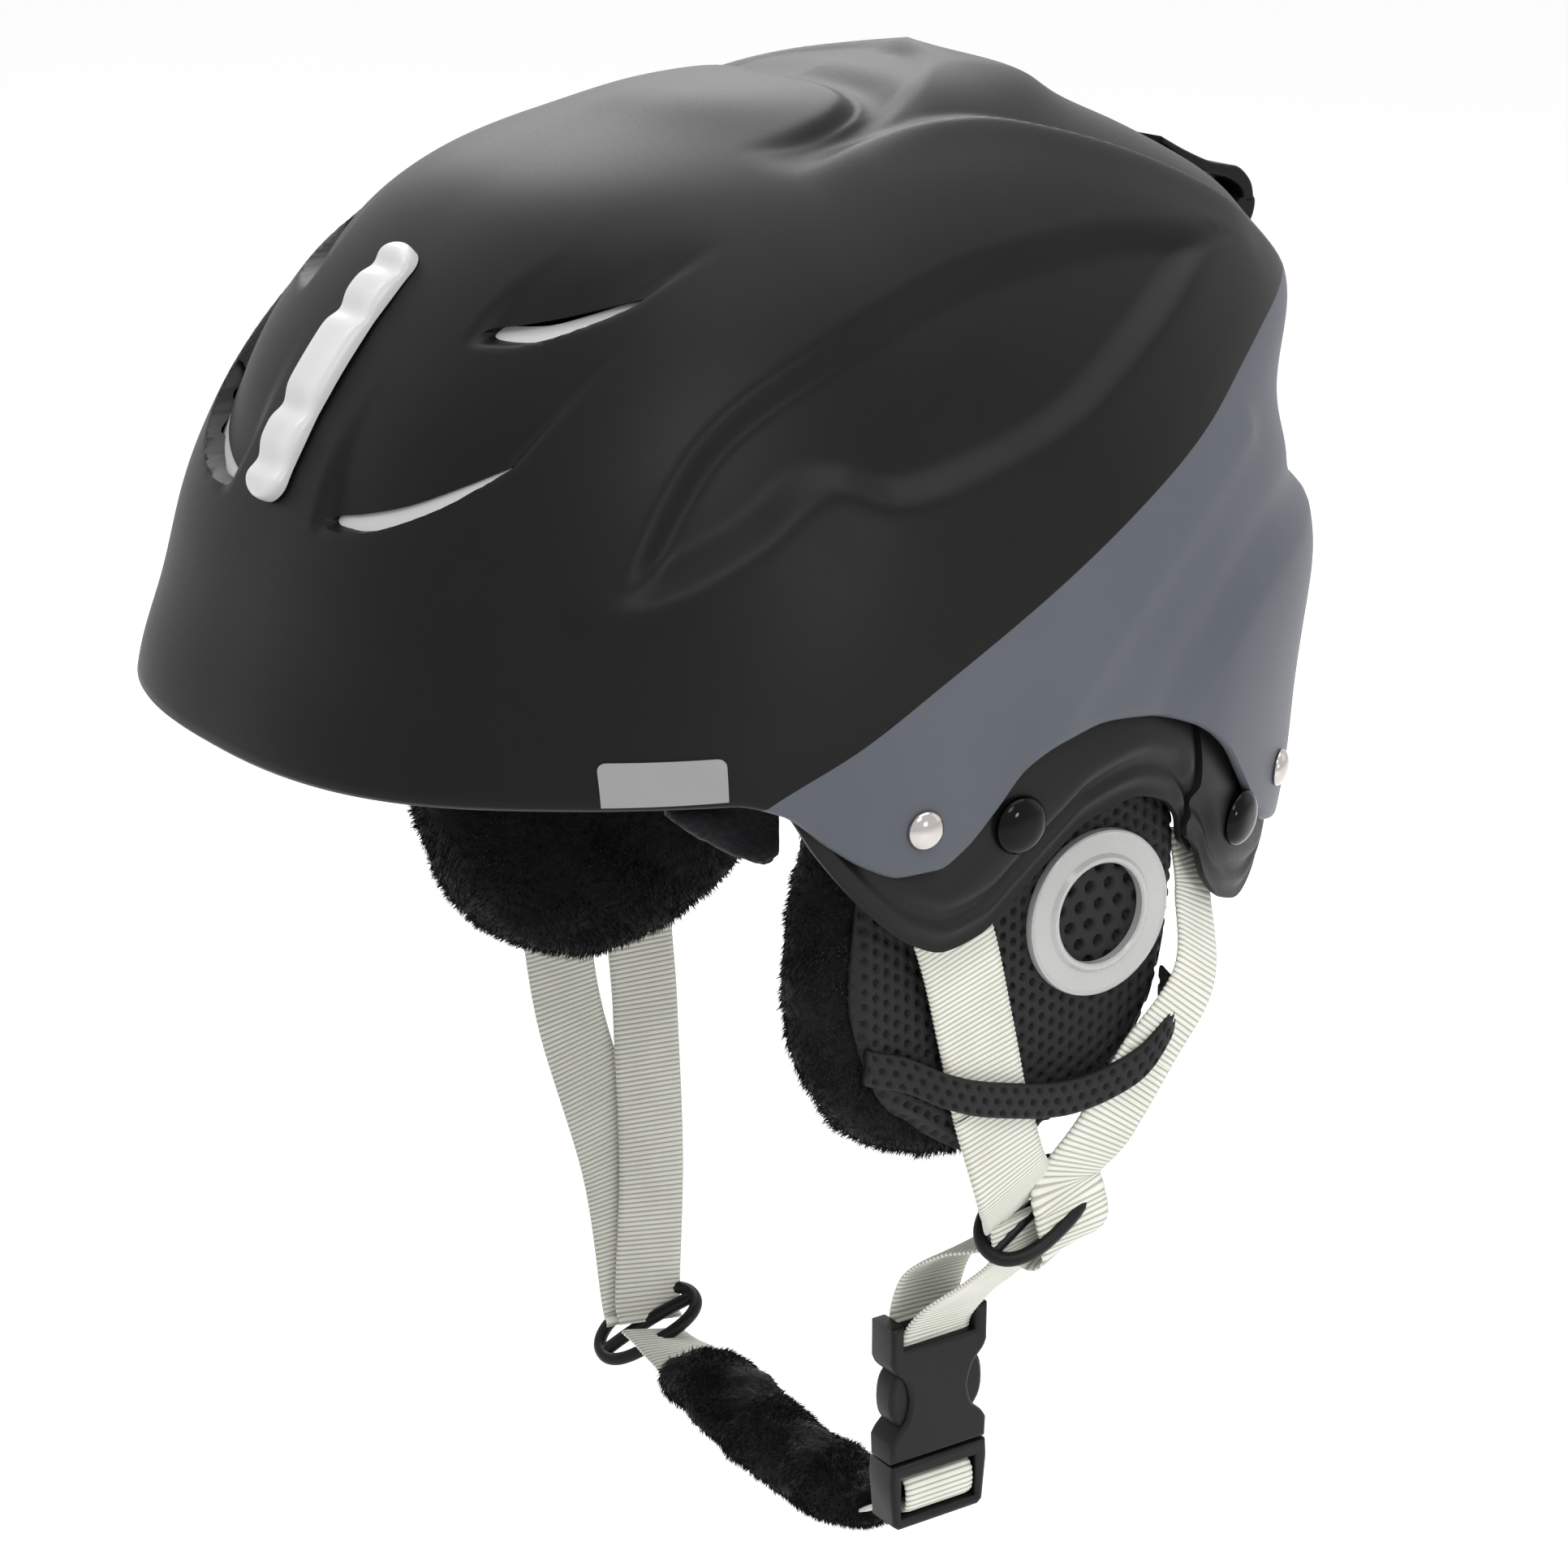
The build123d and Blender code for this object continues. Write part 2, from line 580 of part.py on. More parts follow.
# a band sewn to the pad at both ends, which the two straps pass under
strap_room = 0.6 + WEB_T + 0.8
with BuildPart() as strap_keeper:
    extrude(keeper_face.sketch.moved(Location((EAR_OUT + 0.1, 0, 0))), amount=strap_room + KEEPER_T)
    with Locations((EAR_OUT + strap_room / 2, sum(KEEPER_SLOT) / 2, KEEPER_LINE[2][1])):
        Box(strap_room + 0.4, KEEPER_SLOT[1] - KEEPER_SLOT[0], 60, mode=Mode.SUBTRACT)
    for rear_end in (LEFT_REAR_END, other_side(RIGHT_REAR_END[:2])):
        add(ribbon(REAR_STRAP + rear_end, WEB_W + 1.2, WEB_T + 0.8), mode=Mode.SUBTRACT)
save_pair(strap_keeper.part, "strap_keeper")


def divider(centre, long_way, normal):
    """An oval ring with a bar across, which gathers two straps into one."""
    with BuildPart() as ring:
        with BuildSketch(Plane(centre, x_dir=long_way, z_dir=normal)):
            SlotOverall(DIVIDER_L, DIVIDER_W)
            SlotOverall(DIVIDER_L - 2 * DIVIDER_RIM, DIVIDER_W - 2 * DIVIDER_RIM, mode=Mode.SUBTRACT)
            Rectangle(DIVIDER_L - DIVIDER_RIM, DIVIDER_RIM)
        extrude(amount=DIVIDER_T / 2, both=True)
    return ring.part


save(divider(LEFT_DIVIDER, (0, 0.93, 0.36), (0.1, -0.36, 0.93)), "divider_left")
save(divider(RIGHT_DIVIDER, (0, 0.93, -0.36), (-0.6, 0.3, 0.75)), "divider_right")

lower_near = ribbon([((86, 26.5, -121), (0, 1, 0.38)), ((78, 24, -132), (0, 1, 0.1)),
                     ((62.6, BUCKLE_Y, BUCKLE_TOP + 1.6), (0, 1, 0))], WEB_W, WEB_T)
lower_far = ribbon([((80.5, 26, -121), (0, 1, 0.38)), ((64, 22, -130), (0, 1, 0.1)),
                    ((54.5, BUCKLE_Y, BUCKLE_TOP + 1.6), (0, 1, 0))], WEB_W, WEB_T)
with BuildPart() as lower_strap:
    add(lower_near)
    add(lower_far)
save(lower_strap.part, "lower_strap")

chin_stations = [(point, (0, 1, 0)) for point in CHIN_LINE]
chin_route = [((-67, 26, -207.5), (0, 1, -0.2))] + chin_stations + [((50, BUCKLE_Y, -196), (0, 1, 0))]
pad_core = ribbon(chin_stations, CHIN_W, CHIN_T)
webbing_room = ribbon(chin_route, WEB_W + 0.8, WEB_T + 0.6)
save(ribbon(chin_route, WEB_W, WEB_T), "chin_webbing")
with BuildPart() as chin_pad:
    add(pad_core)
    add(webbing_room, mode=Mode.SUBTRACT)
save(chin_pad.part, "chin_pad")

# ---------------------------------------------------------------- side release buckle
buckle_half = BUCKLE_W / 2
inner_half = buckle_half - BUCKLE_WALL
socket_mid = (BUCKLE_TOP + BUCKLE_JOIN) / 2
with BuildPart() as buckle_socket:
    with Locations((BUCKLE_X, BUCKLE_Y, socket_mid)):
        Box(BUCKLE_T, BUCKLE_W, BUCKLE_TOP - BUCKLE_JOIN)
    fillet(buckle_socket.edges().filter_by(Axis.Z), 1.5)
    with Locations((BUCKLE_X, BUCKLE_Y, (SOCKET_ROOF + BUCKLE_JOIN) / 2)):
        Box(BUCKLE_T - 3, 2 * inner_half, SOCKET_ROOF - BUCKLE_JOIN, mode=Mode.SUBTRACT)
    with Locations((BUCKLE_X, BUCKLE_Y, BUCKLE_TOP - 5.4)):
        Box(BUCKLE_T + 2, WEB_W + 2, 4.4, mode=Mode.SUBTRACT)
    for sign in (-1, 1):
        with Locations((BUCKLE_X, BUCKLE_Y + sign * buckle_half, -164.5)):
            Box(BUCKLE_T + 2, 5.0, 13, mode=Mode.SUBTRACT)
save(buckle_socket.part, "buckle_socket")

plug_top = BUCKLE_JOIN - CLEAR
with BuildPart() as buckle_plug:
    with Locations((BUCKLE_X, BUCKLE_Y, (plug_top + BUCKLE_END) / 2)):
        Box(BUCKLE_T, BUCKLE_W, plug_top - BUCKLE_END)
    fillet(buckle_plug.edges().filter_by(Axis.Z), 1.5)
    with Locations((BUCKLE_X, BUCKLE_Y, sum(PLUG_SLOT) / 2)):
        Box(BUCKLE_T + 2, WEB_W + 2, PLUG_SLOT[0] - PLUG_SLOT[1], mode=Mode.SUBTRACT)
    with Locations((BUCKLE_X, BUCKLE_Y, PLUG_BAR_Z)):
        Cylinder(PLUG_BAR_R, WEB_W + 4, rotation=(90, 0, 0))
    with Locations((BUCKLE_X, BUCKLE_Y, (plug_top - 160) / 2)):
        Box(PRONG_T, 7.0, plug_top * -1 - 160 + 1)
save(buckle_plug.part, "buckle_plug")

for name, sign in (("prong_front", -1), ("prong_rear", 1)):
    with BuildPart() as prong:
        with BuildSketch(Plane.YZ.offset(BUCKLE_X)):
            with BuildLine():
                Polyline(*[(BUCKLE_Y + sign * y, z) for y, z in PRONG], close=True)
            make_face()
        extrude(amount=PRONG_T / 2, both=True)
    save(prong.part, name)

# the webbing's end, wrapped round the bar of the plug
wrap_r = PLUG_BAR_R + 0.3
with BuildPart() as plug_webbing:
    with Locations((BUCKLE_X, BUCKLE_Y, PLUG_BAR_Z)):
        Cylinder(wrap_r + WEB_T, WEB_W, rotation=(90, 0, 0))
        Cylinder(wrap_r, WEB_W + 1, rotation=(90, 0, 0), mode=Mode.SUBTRACT)
save(plug_webbing.part, "plug_webbing")
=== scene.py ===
"""Looks of the ski helmet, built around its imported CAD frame.

Lengths in the code are millimetres until a mesh is made, +Z up, face along -Y, wearer's left +X.
"""

from math import cos, pi, radians, sin

import bmesh
import bpy
import numpy as np
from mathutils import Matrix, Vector, noise


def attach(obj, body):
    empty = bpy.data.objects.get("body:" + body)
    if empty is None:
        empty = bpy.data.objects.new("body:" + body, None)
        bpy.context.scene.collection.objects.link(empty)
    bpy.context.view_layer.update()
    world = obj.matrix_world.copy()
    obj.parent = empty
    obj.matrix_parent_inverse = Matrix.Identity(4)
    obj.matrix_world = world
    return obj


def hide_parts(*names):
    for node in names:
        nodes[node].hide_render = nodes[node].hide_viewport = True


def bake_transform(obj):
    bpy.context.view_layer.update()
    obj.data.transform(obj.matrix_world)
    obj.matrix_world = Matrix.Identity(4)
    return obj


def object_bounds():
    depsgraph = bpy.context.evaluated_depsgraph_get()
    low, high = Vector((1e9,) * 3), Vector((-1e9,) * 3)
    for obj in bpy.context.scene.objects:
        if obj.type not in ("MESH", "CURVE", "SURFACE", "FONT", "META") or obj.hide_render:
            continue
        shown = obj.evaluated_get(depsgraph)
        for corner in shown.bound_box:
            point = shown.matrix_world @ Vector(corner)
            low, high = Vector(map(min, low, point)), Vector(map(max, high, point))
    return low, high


MM = 0.001
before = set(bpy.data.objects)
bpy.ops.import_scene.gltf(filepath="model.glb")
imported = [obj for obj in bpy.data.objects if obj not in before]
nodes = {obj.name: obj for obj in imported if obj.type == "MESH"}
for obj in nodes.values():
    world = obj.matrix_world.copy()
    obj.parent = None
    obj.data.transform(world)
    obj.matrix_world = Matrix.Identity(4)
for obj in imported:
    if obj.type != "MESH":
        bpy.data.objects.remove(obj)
cad_low, cad_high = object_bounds()
SIDES = (("left", 1), ("right", -1))


# ------------------------------------------------------------------ small maths
def smooth(t):
    """0 below 0, 1 above 1, and a smooth rise between them."""
    t = np.clip(t, 0.0, 1.0)
    return t * t * (3 - 2 * t)


def bell(distance, width):
    return np.exp(-((distance / width) ** 2))


def squared(value, power):
    """A signed power, which squares off the round of a cosine or sine."""
    return np.sign(value) * abs(value) ** power


def table_curve(knots, values):
    """A smooth curve through a table, with no overshoot between its knots."""
    x = np.array(knots, float)
    y = np.array(values, float)
    h = np.diff(x)
    slope = np.diff(y) / h
    m = np.zeros(len(x))
    for i in range(1, len(x) - 1):
        if slope[i - 1] * slope[i] > 0:
            w1, w2 = 2 * h[i] + h[i - 1], h[i] + 2 * h[i - 1]
            m[i] = (w1 + w2) / (w1 / slope[i - 1] + w2 / slope[i])
    m[0], m[-1] = slope[0], slope[-1]

    def value(q):
        q = np.clip(q, x[0], x[-1])
        i = np.clip(np.searchsorted(x, q) - 1, 0, len(h) - 1)
        t = (q - x[i]) / h[i]
        a, b = y[i], y[i + 1]
        return (a * (2 * t**3 - 3 * t**2 + 1) + b * (3 * t**2 - 2 * t**3)
                + h[i] * m[i] * (t**3 - 2 * t**2 + t) + h[i] * m[i + 1] * (t**3 - t**2))

    return value


def through(points, count, closed=False):
    """Points along a smooth line through the given ones."""
    p = np.array(points, float)
    n = len(p)
    if closed:
        p = np.vstack([p[-1], p, p[0], p[1]])
        spans = n
    else:
        p = np.vstack([2 * p[0] - p[1], p, 2 * p[-1] - p[-2]])
        spans = n - 1
    s = np.linspace(0, spans, count, endpoint=not closed)
    i = np.minimum(s.astype(int), spans - 1)
    t = (s - i)[:, None]
    a, b, c, d = p[i], p[i + 1], p[i + 2], p[i + 3]
    steep, curl = c - a, 2 * a - 5 * b + 4 * c - d
    return 0.5 * (2 * b + steep * t + curl * t**2 + (3 * b - a - 3 * c + d) * t**3)


def even(line, step):
    """The same line, in equal steps of about the given length."""
    gaps = np.linalg.norm(np.diff(line, axis=0), axis=1)
    along = np.concatenate([[0], np.cumsum(gaps)])
    count = max(int(along[-1] / step), 2) + 1
    want = np.linspace(0, along[-1], count)
    return np.stack([np.interp(want, along, line[:, k]) for k in range(line.shape[1])], 1), want


def to_line(u, v, line):
    """Distance of each point to a line, and that distance signed: positive on the line's right."""
    best = np.full(u.shape, 1e9)
    sign = np.ones(u.shape)
    for (au, av), (bu, bv) in zip(line[:-1], line[1:]):
        du, dv = bu - au, bv - av
        t = np.clip(((u - au) * du + (v - av) * dv) / (du * du + dv * dv), 0, 1)
        away = np.hypot(u - au - t * du, v - av - t * dv)
        side = np.where((u - au) * dv - (v - av) * du > 0, 1.0, -1.0)
        nearer = away < best
        best = np.where(nearer, away, best)
        sign = np.where(nearer, side, sign)
    return best, best * sign


def within(u, v, outline):
    """Which points lie inside a closed outline."""
    found = np.zeros(u.shape, bool)
    for (au, av), (bu, bv) in zip(outline, np.roll(outline, -1, axis=0)):
        crosses = (av > v) != (bv > v)
        reach = (bu - au) * (v - av) / (bv - av if bv != av else 1e-9) + au
        found ^= crosses & (u < reach)
    return found


# ------------------------------------------------------------------ making pieces
def add_object(name, data):
    made = bpy.data.objects.new(name, data)
    bpy.context.scene.collection.objects.link(made)
    return made


def mesh_piece(name, points, faces, material, body, replaces=(), sharp=None):
    """A new object from points in millimetres, riding on a body."""
    mesh = bpy.data.meshes.new(name)
    mesh.from_pydata((np.asarray(points, float) * MM).tolist(), [], [list(map(int, f)) for f in faces])
    mesh.validate()
    mesh.update()
    made = add_object(name, mesh)
    finish_piece(made, material, body, replaces, sharp)
    return made


def finish_piece(made, material, body, replaces=(), sharp=None):
    """Gives a piece its material, shading, body and the CAD nodes that it replaces."""
    made.data.materials.clear()
    made.data.materials.append(material)
    made.data.shade_smooth()
    if sharp is not None:
        made.data.set_sharp_from_angle(angle=radians(sharp))
    if body:
        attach(made, body)
    if replaces:
        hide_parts(*replaces)


def grid_faces(rows, columns, closed_rows=False, closed_columns=False, start=0):
    faces = []
    for i in range(rows if closed_rows else rows - 1):
        for j in range(columns if closed_columns else columns - 1):
            this, following = start + i * columns, start + ((i + 1) % rows) * columns
            ahead = (j + 1) % columns
            faces.append((this + j, this + ahead, following + ahead, following + j))
    return faces


def ring_faces(rows, columns, closed=False, start=0, flip=False, turned_caps=False):
    """Faces of rings of points, with a cap at each end unless the rings close on themselves."""
    faces = grid_faces(rows, columns, closed, True, start)
    if not closed:
        last = start + (rows - 1) * columns
        caps = [tuple(range(start, start + columns))[::-1], tuple(range(last, last + columns))]
        faces += [cap[::-1] for cap in caps] if turned_caps else caps
    return [face[::-1] for face in faces] if flip else faces


def sheet_faces(rows, columns):
    """Faces of a thin sheet: a grid, the same grid behind it, and the wall between their borders."""
    size = rows * columns
    faces = grid_faces(rows, columns)
    faces += [tuple(i + size for i in face)[::-1] for face in faces]
    border = (list(range(columns)) + [i * columns + columns - 1 for i in range(1, rows)]
              + [size - 1 - j for j in range(1, columns)] + [i * columns for i in range(rows - 2, 0, -1)])
    return faces + [(b, a, a + size, b + size) for a, b in zip(border, border[1:] + border[:1])]


def merged(parts):
    """The points and faces of several (points, faces) as one."""
    points, faces, start = [], [], 0
    for part_points, part_faces in parts:
        points.append(part_points)
        faces += [tuple(i + start for i in face) for face in part_faces]
        start += len(part_points)
    return np.vstack(points), faces


def attribute(made, name, values):
    data = made.data.attributes.new(name, "FLOAT", "POINT")
    data.data.foreach_set("value", np.asarray(values, np.float32))


def coordinates(made):
    """The points of a piece, in millimetres."""
    co = np.zeros(len(made.data.vertices) * 3)
    made.data.vertices.foreach_get("co", co)
    return co.reshape(-1, 3) / MM


def set_coordinates(made, co):
    made.data.vertices.foreach_set("co", (co * MM).ravel())


def point_normals(made):
    return np.array([v.normal for v in made.data.vertices])


def grid_normals(p, closed):
    """Normals of a grid of points, rows along axis 0."""
    down = np.gradient(p, axis=0)
    if closed:
        across = np.roll(p, -1, axis=1) - np.roll(p, 1, axis=1)
    else:
        across = np.gradient(p, axis=1)
    n = np.cross(across, down)
    return n / np.maximum(np.linalg.norm(n, axis=2, keepdims=True), 1e-9)


def outward(made):
    """Turns every face of a closed mesh outwards."""
    work = bmesh.new()
    work.from_mesh(made.data)
    bmesh.ops.recalc_face_normals(work, faces=work.faces)
    work.to_mesh(made.data)
    work.free()

def evaluated_mesh(made):
    graph = bpy.context.evaluated_depsgraph_get()
    return bpy.data.meshes.new_from_object(made.evaluated_get(graph))


def apply_modifiers(made):
    mesh = evaluated_mesh(made)
    made.modifiers.clear()
    made.data = mesh


# ------------------------------------------------------------------ materials
def shader(name):
    material = bpy.data.materials.new(name)
    material.use_nodes = True
    tree = material.node_tree
    return material, tree, tree.nodes["Principled BSDF"], tree.nodes.new("ShaderNodeTexCoord")


def dials(bsdf, **values):
    """Sets inputs of a shader, with the spaces in their names written as underscores."""
    for name, value in values.items():
        bsdf.inputs[name.replace("_", " ")].default_value = value


def noise_value(tree, place, scale, detail=3.0):
    node = tree.nodes.new("ShaderNodeTexNoise")
    dials(node, Scale=scale, Detail=detail)
    tree.links.new(place.outputs["Object"], node.inputs["Vector"])
    return node.outputs["Fac"]


def attribute_value(tree, name):
    node = tree.nodes.new("ShaderNodeAttribute")
    node.attribute_name = name
    return node.outputs["Fac"]


def greys(low, high):
    return (low,) * 3, (high,) * 3


def ramp(tree, source, low, high, colours, target=None):
    """Two colours, faded from the low to the high value of a source, and linked to a target if given."""
    node = tree.nodes.new("ShaderNodeValToRGB")
    for element, position, colour in zip(node.color_ramp.elements, (low, high), colours):
        element.position = position
        element.color = (*colour, 1)
    tree.links.new(source, node.inputs["Fac"])
    if target is not None:
        tree.links.new(node.outputs["Color"], target)
    return node.outputs["Color"]


def mix_colours(tree, first, second, target):
    node = tree.nodes.new("ShaderNodeMix")
    node.data_type = "RGBA"
    tree.links.new(first, node.inputs["A"])
    tree.links.new(second, node.inputs["B"])
    tree.links.new(node.outputs["Result"], target)
    return node


def bump(tree, bsdf, height, strength, distance):
    """Bump from a height, with its distance in millimetres."""
    node = tree.nodes.new("ShaderNodeBump")
    dials(node, Strength=strength, Distance=distance * MM)
    tree.links.new(height, node.inputs["Height"])
    tree.links.new(node.outputs["Normal"], bsdf.inputs["Normal"])


def moulded(name, colour, rough, spread, grain, depth, specular=0.5, coat=0.0):
    """Moulded plastic or rubber: slight colour and gloss variation, and a fine grain."""
    material, tree, bsdf, place = shader(name)
    darker = tuple(c * (1 - spread) for c in colour)
    lighter = tuple(min(c * (1 + spread), 1) for c in colour)
    ramp(tree, noise_value(tree, place, 45), 0.3, 0.7, (darker, lighter), bsdf.inputs["Base Color"])
    fine = noise_value(tree, place, grain, 2)
    ramp(tree, fine, 0.25, 0.75, greys(rough - 0.05, rough + 0.05), bsdf.inputs["Roughness"])
    bump(tree, bsdf, fine, depth, 0.12)
    dials(bsdf, Specular_IOR_Level=specular, Coat_Weight=coat, Coat_Roughness=0.08)
    return material


def metal(name, colour, rough):
    """Polished metal with slightly uneven gloss."""
    material, tree, bsdf, place = shader(name)
    fine = noise_value(tree, place, 900, 4)
    ramp(tree, fine, 0.2, 0.8, greys(rough, rough + 0.08), bsdf.inputs["Roughness"])
    ramp(tree, fine, 0.2, 0.8, (tuple(c * 0.93 for c in colour), colour), bsdf.inputs["Base Color"])
    dials(bsdf, Metallic=1.0)
    return material


def pile_cloth(name, colour, tip, scale=420, strength=0.7):
    """Plush or fleece: clumped pile with a soft sheen, from the shader's sheen and from lighter clumps of
    colour that are a painted sheen.
    """
    material, tree, bsdf, place = shader(name)
    clump = noise_value(tree, place, scale, 6)
    broad = ramp(tree, noise_value(tree, place, 60, 2), 0.3, 0.7, greys(0.0, 0.4))
    mix = tree.nodes.new("ShaderNodeMath")
    mix.operation = "MULTIPLY_ADD"
    mix.inputs[1].default_value = 0.6
    tree.links.new(clump, mix.inputs[0])
    tree.links.new(broad, mix.inputs[2])
    # painted sheen: the lighter tip colour is laid on the clumps by noise
    ramp(tree, mix.outputs["Value"], 0.25, 0.8, (colour, tip), bsdf.inputs["Base Color"])
    bump(tree, bsdf, clump, strength, 1.2)
    dials(bsdf, Roughness=0.95, Specular_IOR_Level=0.12, Sheen_Weight=0.12, Sheen_Roughness=0.4)
    return material


def woven(name, groove_shade, light):
    """Webbing: painted shade in the grooves between its ribs and at its edges, from its rib shade attribute,
    with slight soiling and fine fibre.
    """
    material, tree, bsdf, place = shader(name)
    # painted shade: dark in the grooves and at the edges, light on the rib crests
    shaded_webbing = ramp(tree, attribute_value(tree, "rib_shade"), 0.0, 0.55, (groove_shade, light))
    soil = ramp(tree, noise_value(tree, place, 90, 2), 0.3, 0.75, ((0.90, 0.90, 0.88), (1, 1, 1)))
    shade = mix_colours(tree, shaded_webbing, soil, bsdf.inputs["Base Color"])
    shade.blend_type = "MULTIPLY"
    shade.inputs["Factor"].default_value = 1.0
    bump(tree, bsdf, noise_value(tree, place, 1500, 3), 0.5, 0.2)
    dials(bsdf, Roughness=0.72, Sheen_Weight=0.2)
    return material


def knitted(name, yarn, hole_shade):
    """Open spacer knit: near black, with painted shade in its holes from its hole attribute."""
    material, tree, bsdf, place = shader(name)
    # painted shade: the holes of the knit are coloured darker than its yarn
    ramp(tree, attribute_value(tree, "hole"), 0.25, 0.75, (yarn, hole_shade), bsdf.inputs["Base Color"])
    bump(tree, bsdf, noise_value(tree, place, 2200, 2), 0.6, 0.25)
    dials(bsdf, Roughness=0.62, Specular_IOR_Level=0.2)
    return material


def painted_shell(name):
    """Soft touch paint: black where the paint attribute is over zero, and blue grey elsewhere."""
    material, tree, bsdf, place = shader(name)
    line = tree.nodes.new("ShaderNodeMath")
    line.operation = "GREATER_THAN"
    line.inputs[1].default_value = 0.0
    tree.links.new(attribute_value(tree, "paint"), line.inputs[0])
    cloud = noise_value(tree, place, 30)
    black = ramp(tree, cloud, 0.3, 0.7, ((0.0048, 0.0044, 0.0043), (0.0062, 0.0056, 0.0054)))
    grey = ramp(tree, cloud, 0.3, 0.7, ((0.070, 0.076, 0.090), (0.078, 0.084, 0.099)))
    mix = mix_colours(tree, grey, black, bsdf.inputs["Base Color"])
    tree.links.new(line.outputs["Value"], mix.inputs["Factor"])
    fine = noise_value(tree, place, 2400, 2)
    ramp(tree, fine, 0.25, 0.75, greys(0.40, 0.47), bsdf.inputs["Roughness"])
    bump(tree, bsdf, fine, 0.10, 0.1)
    dials(bsdf, Specular_IOR_Level=0.13)
    return material

shell_paint = painted_shell("shell_paint")
white_plastic = moulded("white_satin", (0.50, 0.50, 0.50), 0.32, 0.02, 1800, 0.04)
black_plastic = moulded("black_grained", (0.0055, 0.0055, 0.006), 0.42, 0.1, 2200, 0.25, specular=0.18)
rubber = moulded("skirt_rubber", (0.0075, 0.0070, 0.0068), 0.48, 0.1, 2000, 0.15, specular=0.16)
gloss_black = moulded("gloss_black", (0.0010, 0.0010, 0.0012), 0.07, 0.1, 400, 0.0, specular=0.13)
foam = moulded("beaded_foam", (0.016, 0.016, 0.017), 0.8, 0.2, 380, 0.8, specular=0.25)
badge_paint = moulded("badge_grey", (0.20, 0.205, 0.20), 0.5, 0.03, 1500, 0.05)
frosted = moulded("frosted_ring", (0.34, 0.345, 0.335), 0.30, 0.03, 300, 0.01, coat=0.2)
chrome = metal("chrome", (0.50, 0.47, 0.45), 0.08)
steel = metal("steel", (0.55, 0.55, 0.56), 0.25)
# the second colour of plush and fleece is a painted sheen on their lighter clumps
plush = pile_cloth("plush", (0.0024, 0.0024, 0.0028), (0.009, 0.009, 0.0105))
fleece = pile_cloth("fleece", (0.005, 0.005, 0.006), (0.016, 0.016, 0.018), 700, 0.5)
# the darker webbing colour is the painted shade of its grooves
webbing = woven("webbing", (0.22, 0.22, 0.18), (0.62, 0.62, 0.56))
# the second knit colour is the painted shade in its holes
knit = knitted("spacer_knit", (0.0105, 0.0105, 0.0115), (0.0010, 0.0010, 0.0012))

# ------------------------------------------------------------------ head form
# height, front y, rear y, half width, y of the widest station
LEVELS = [
    (-90, -134, 118, 101, -5),
    (-50, -131, 125, 105, -3),
    (-25, -128, 129.5, 107, -2),
    (0, -125, 130.5, 108, 0),
    (19, -117.5, 132, 107.5, 2),
    (38, -112, 127, 105.5, 4),
    (57, -103, 122.5, 101, 6),
    (76, -90, 130.5, 93, 10),
    (95, -72.5, 122.5, 80, 16),
    (108.5, -53.5, 100.5, 65, 22),
    (118, -27, 78.5, 47, 30),
    (123.2, -12, 70, 30, 36),
]
TOP = 125.7
TOP_Y = 41.0
SQUARENESS = 2.5
FORM_STEP = 0.02

heights = np.array([level[0] for level in LEVELS], float)[::-1]
knots = np.concatenate([[0], np.sqrt(TOP - heights)])
depth_range = np.arange(-3, knots[-1], FORM_STEP)


def form_table(values, at_top, odd):
    """One column of the form against the root of depth below the top, with its kinks smoothed."""
    curve = table_curve(knots, [at_top] + values[::-1])
    raw = curve(np.abs(depth_range))
    if odd:
        raw = raw * np.sign(depth_range)
    spread = np.exp(-0.5 * (np.arange(-30, 31) / 11) ** 2)
    padded = np.concatenate([np.full(30, raw[0]), raw, raw[-1] + np.arange(1, 31) * (raw[-1] - raw[-2])])
    return np.convolve(padded, spread / spread.sum(), "valid")


mid_table = form_table([level[4] for level in LEVELS], TOP_Y, False)
front_table = form_table([level[4] - level[1] for level in LEVELS], 0, True)
rear_table = form_table([level[2] - level[4] for level in LEVELS], 0, True)
half_table = form_table([level[3] for level in LEVELS], 0, True)


def level_at(height):
    """The form's middle, front reach, rear reach and half width at a height."""
    w = np.sqrt(np.maximum(TOP - height, 0))
    return [np.interp(w, depth_range, t) for t in (mid_table, front_table, rear_table, half_table)]


def form(height, turn):
    """Points of the head form at a height, in the direction of an angle round the level's middle."""
    mid, front, rear, half = level_at(height)
    c, s = np.cos(turn), np.sin(turn)
    length = np.maximum(np.where(s > 0, rear, front), 1e-6)
    reach = (np.abs(c / np.maximum(half, 1e-6)) ** SQUARENESS + np.abs(s / length) ** SQUARENESS)
    reach = reach ** (-1 / SQUARENESS)
    return np.stack([reach * c, mid + reach * s, height + 0 * reach], -1)


def side_turn(y, z):
    """The angle at which the left side of the form passes a place in side view."""
    mid, front, rear, half = level_at(z)
    length = np.where(y > mid, rear, front)
    share = np.clip(np.abs(y - mid) / length, 0, 0.999)
    x = half * (1 - share**SQUARENESS) ** (1 / SQUARENESS)
    return np.arctan2(y - mid, x)


def side_frame(y, z, lift):
    """A point of the left side and its outward normal."""
    spots = []
    for dy, dz in ((0, 0), (1, 0), (0, 1)):
        yy, zz = np.asarray(y + dy, float), np.asarray(z + dz, float)
        spots.append(form(zz, side_turn(yy, zz)))
    normal = np.cross(spots[1] - spots[0], spots[2] - spots[0])
    normal = normal / np.linalg.norm(normal, axis=-1, keepdims=True)
    return spots[0] + normal * lift, normal


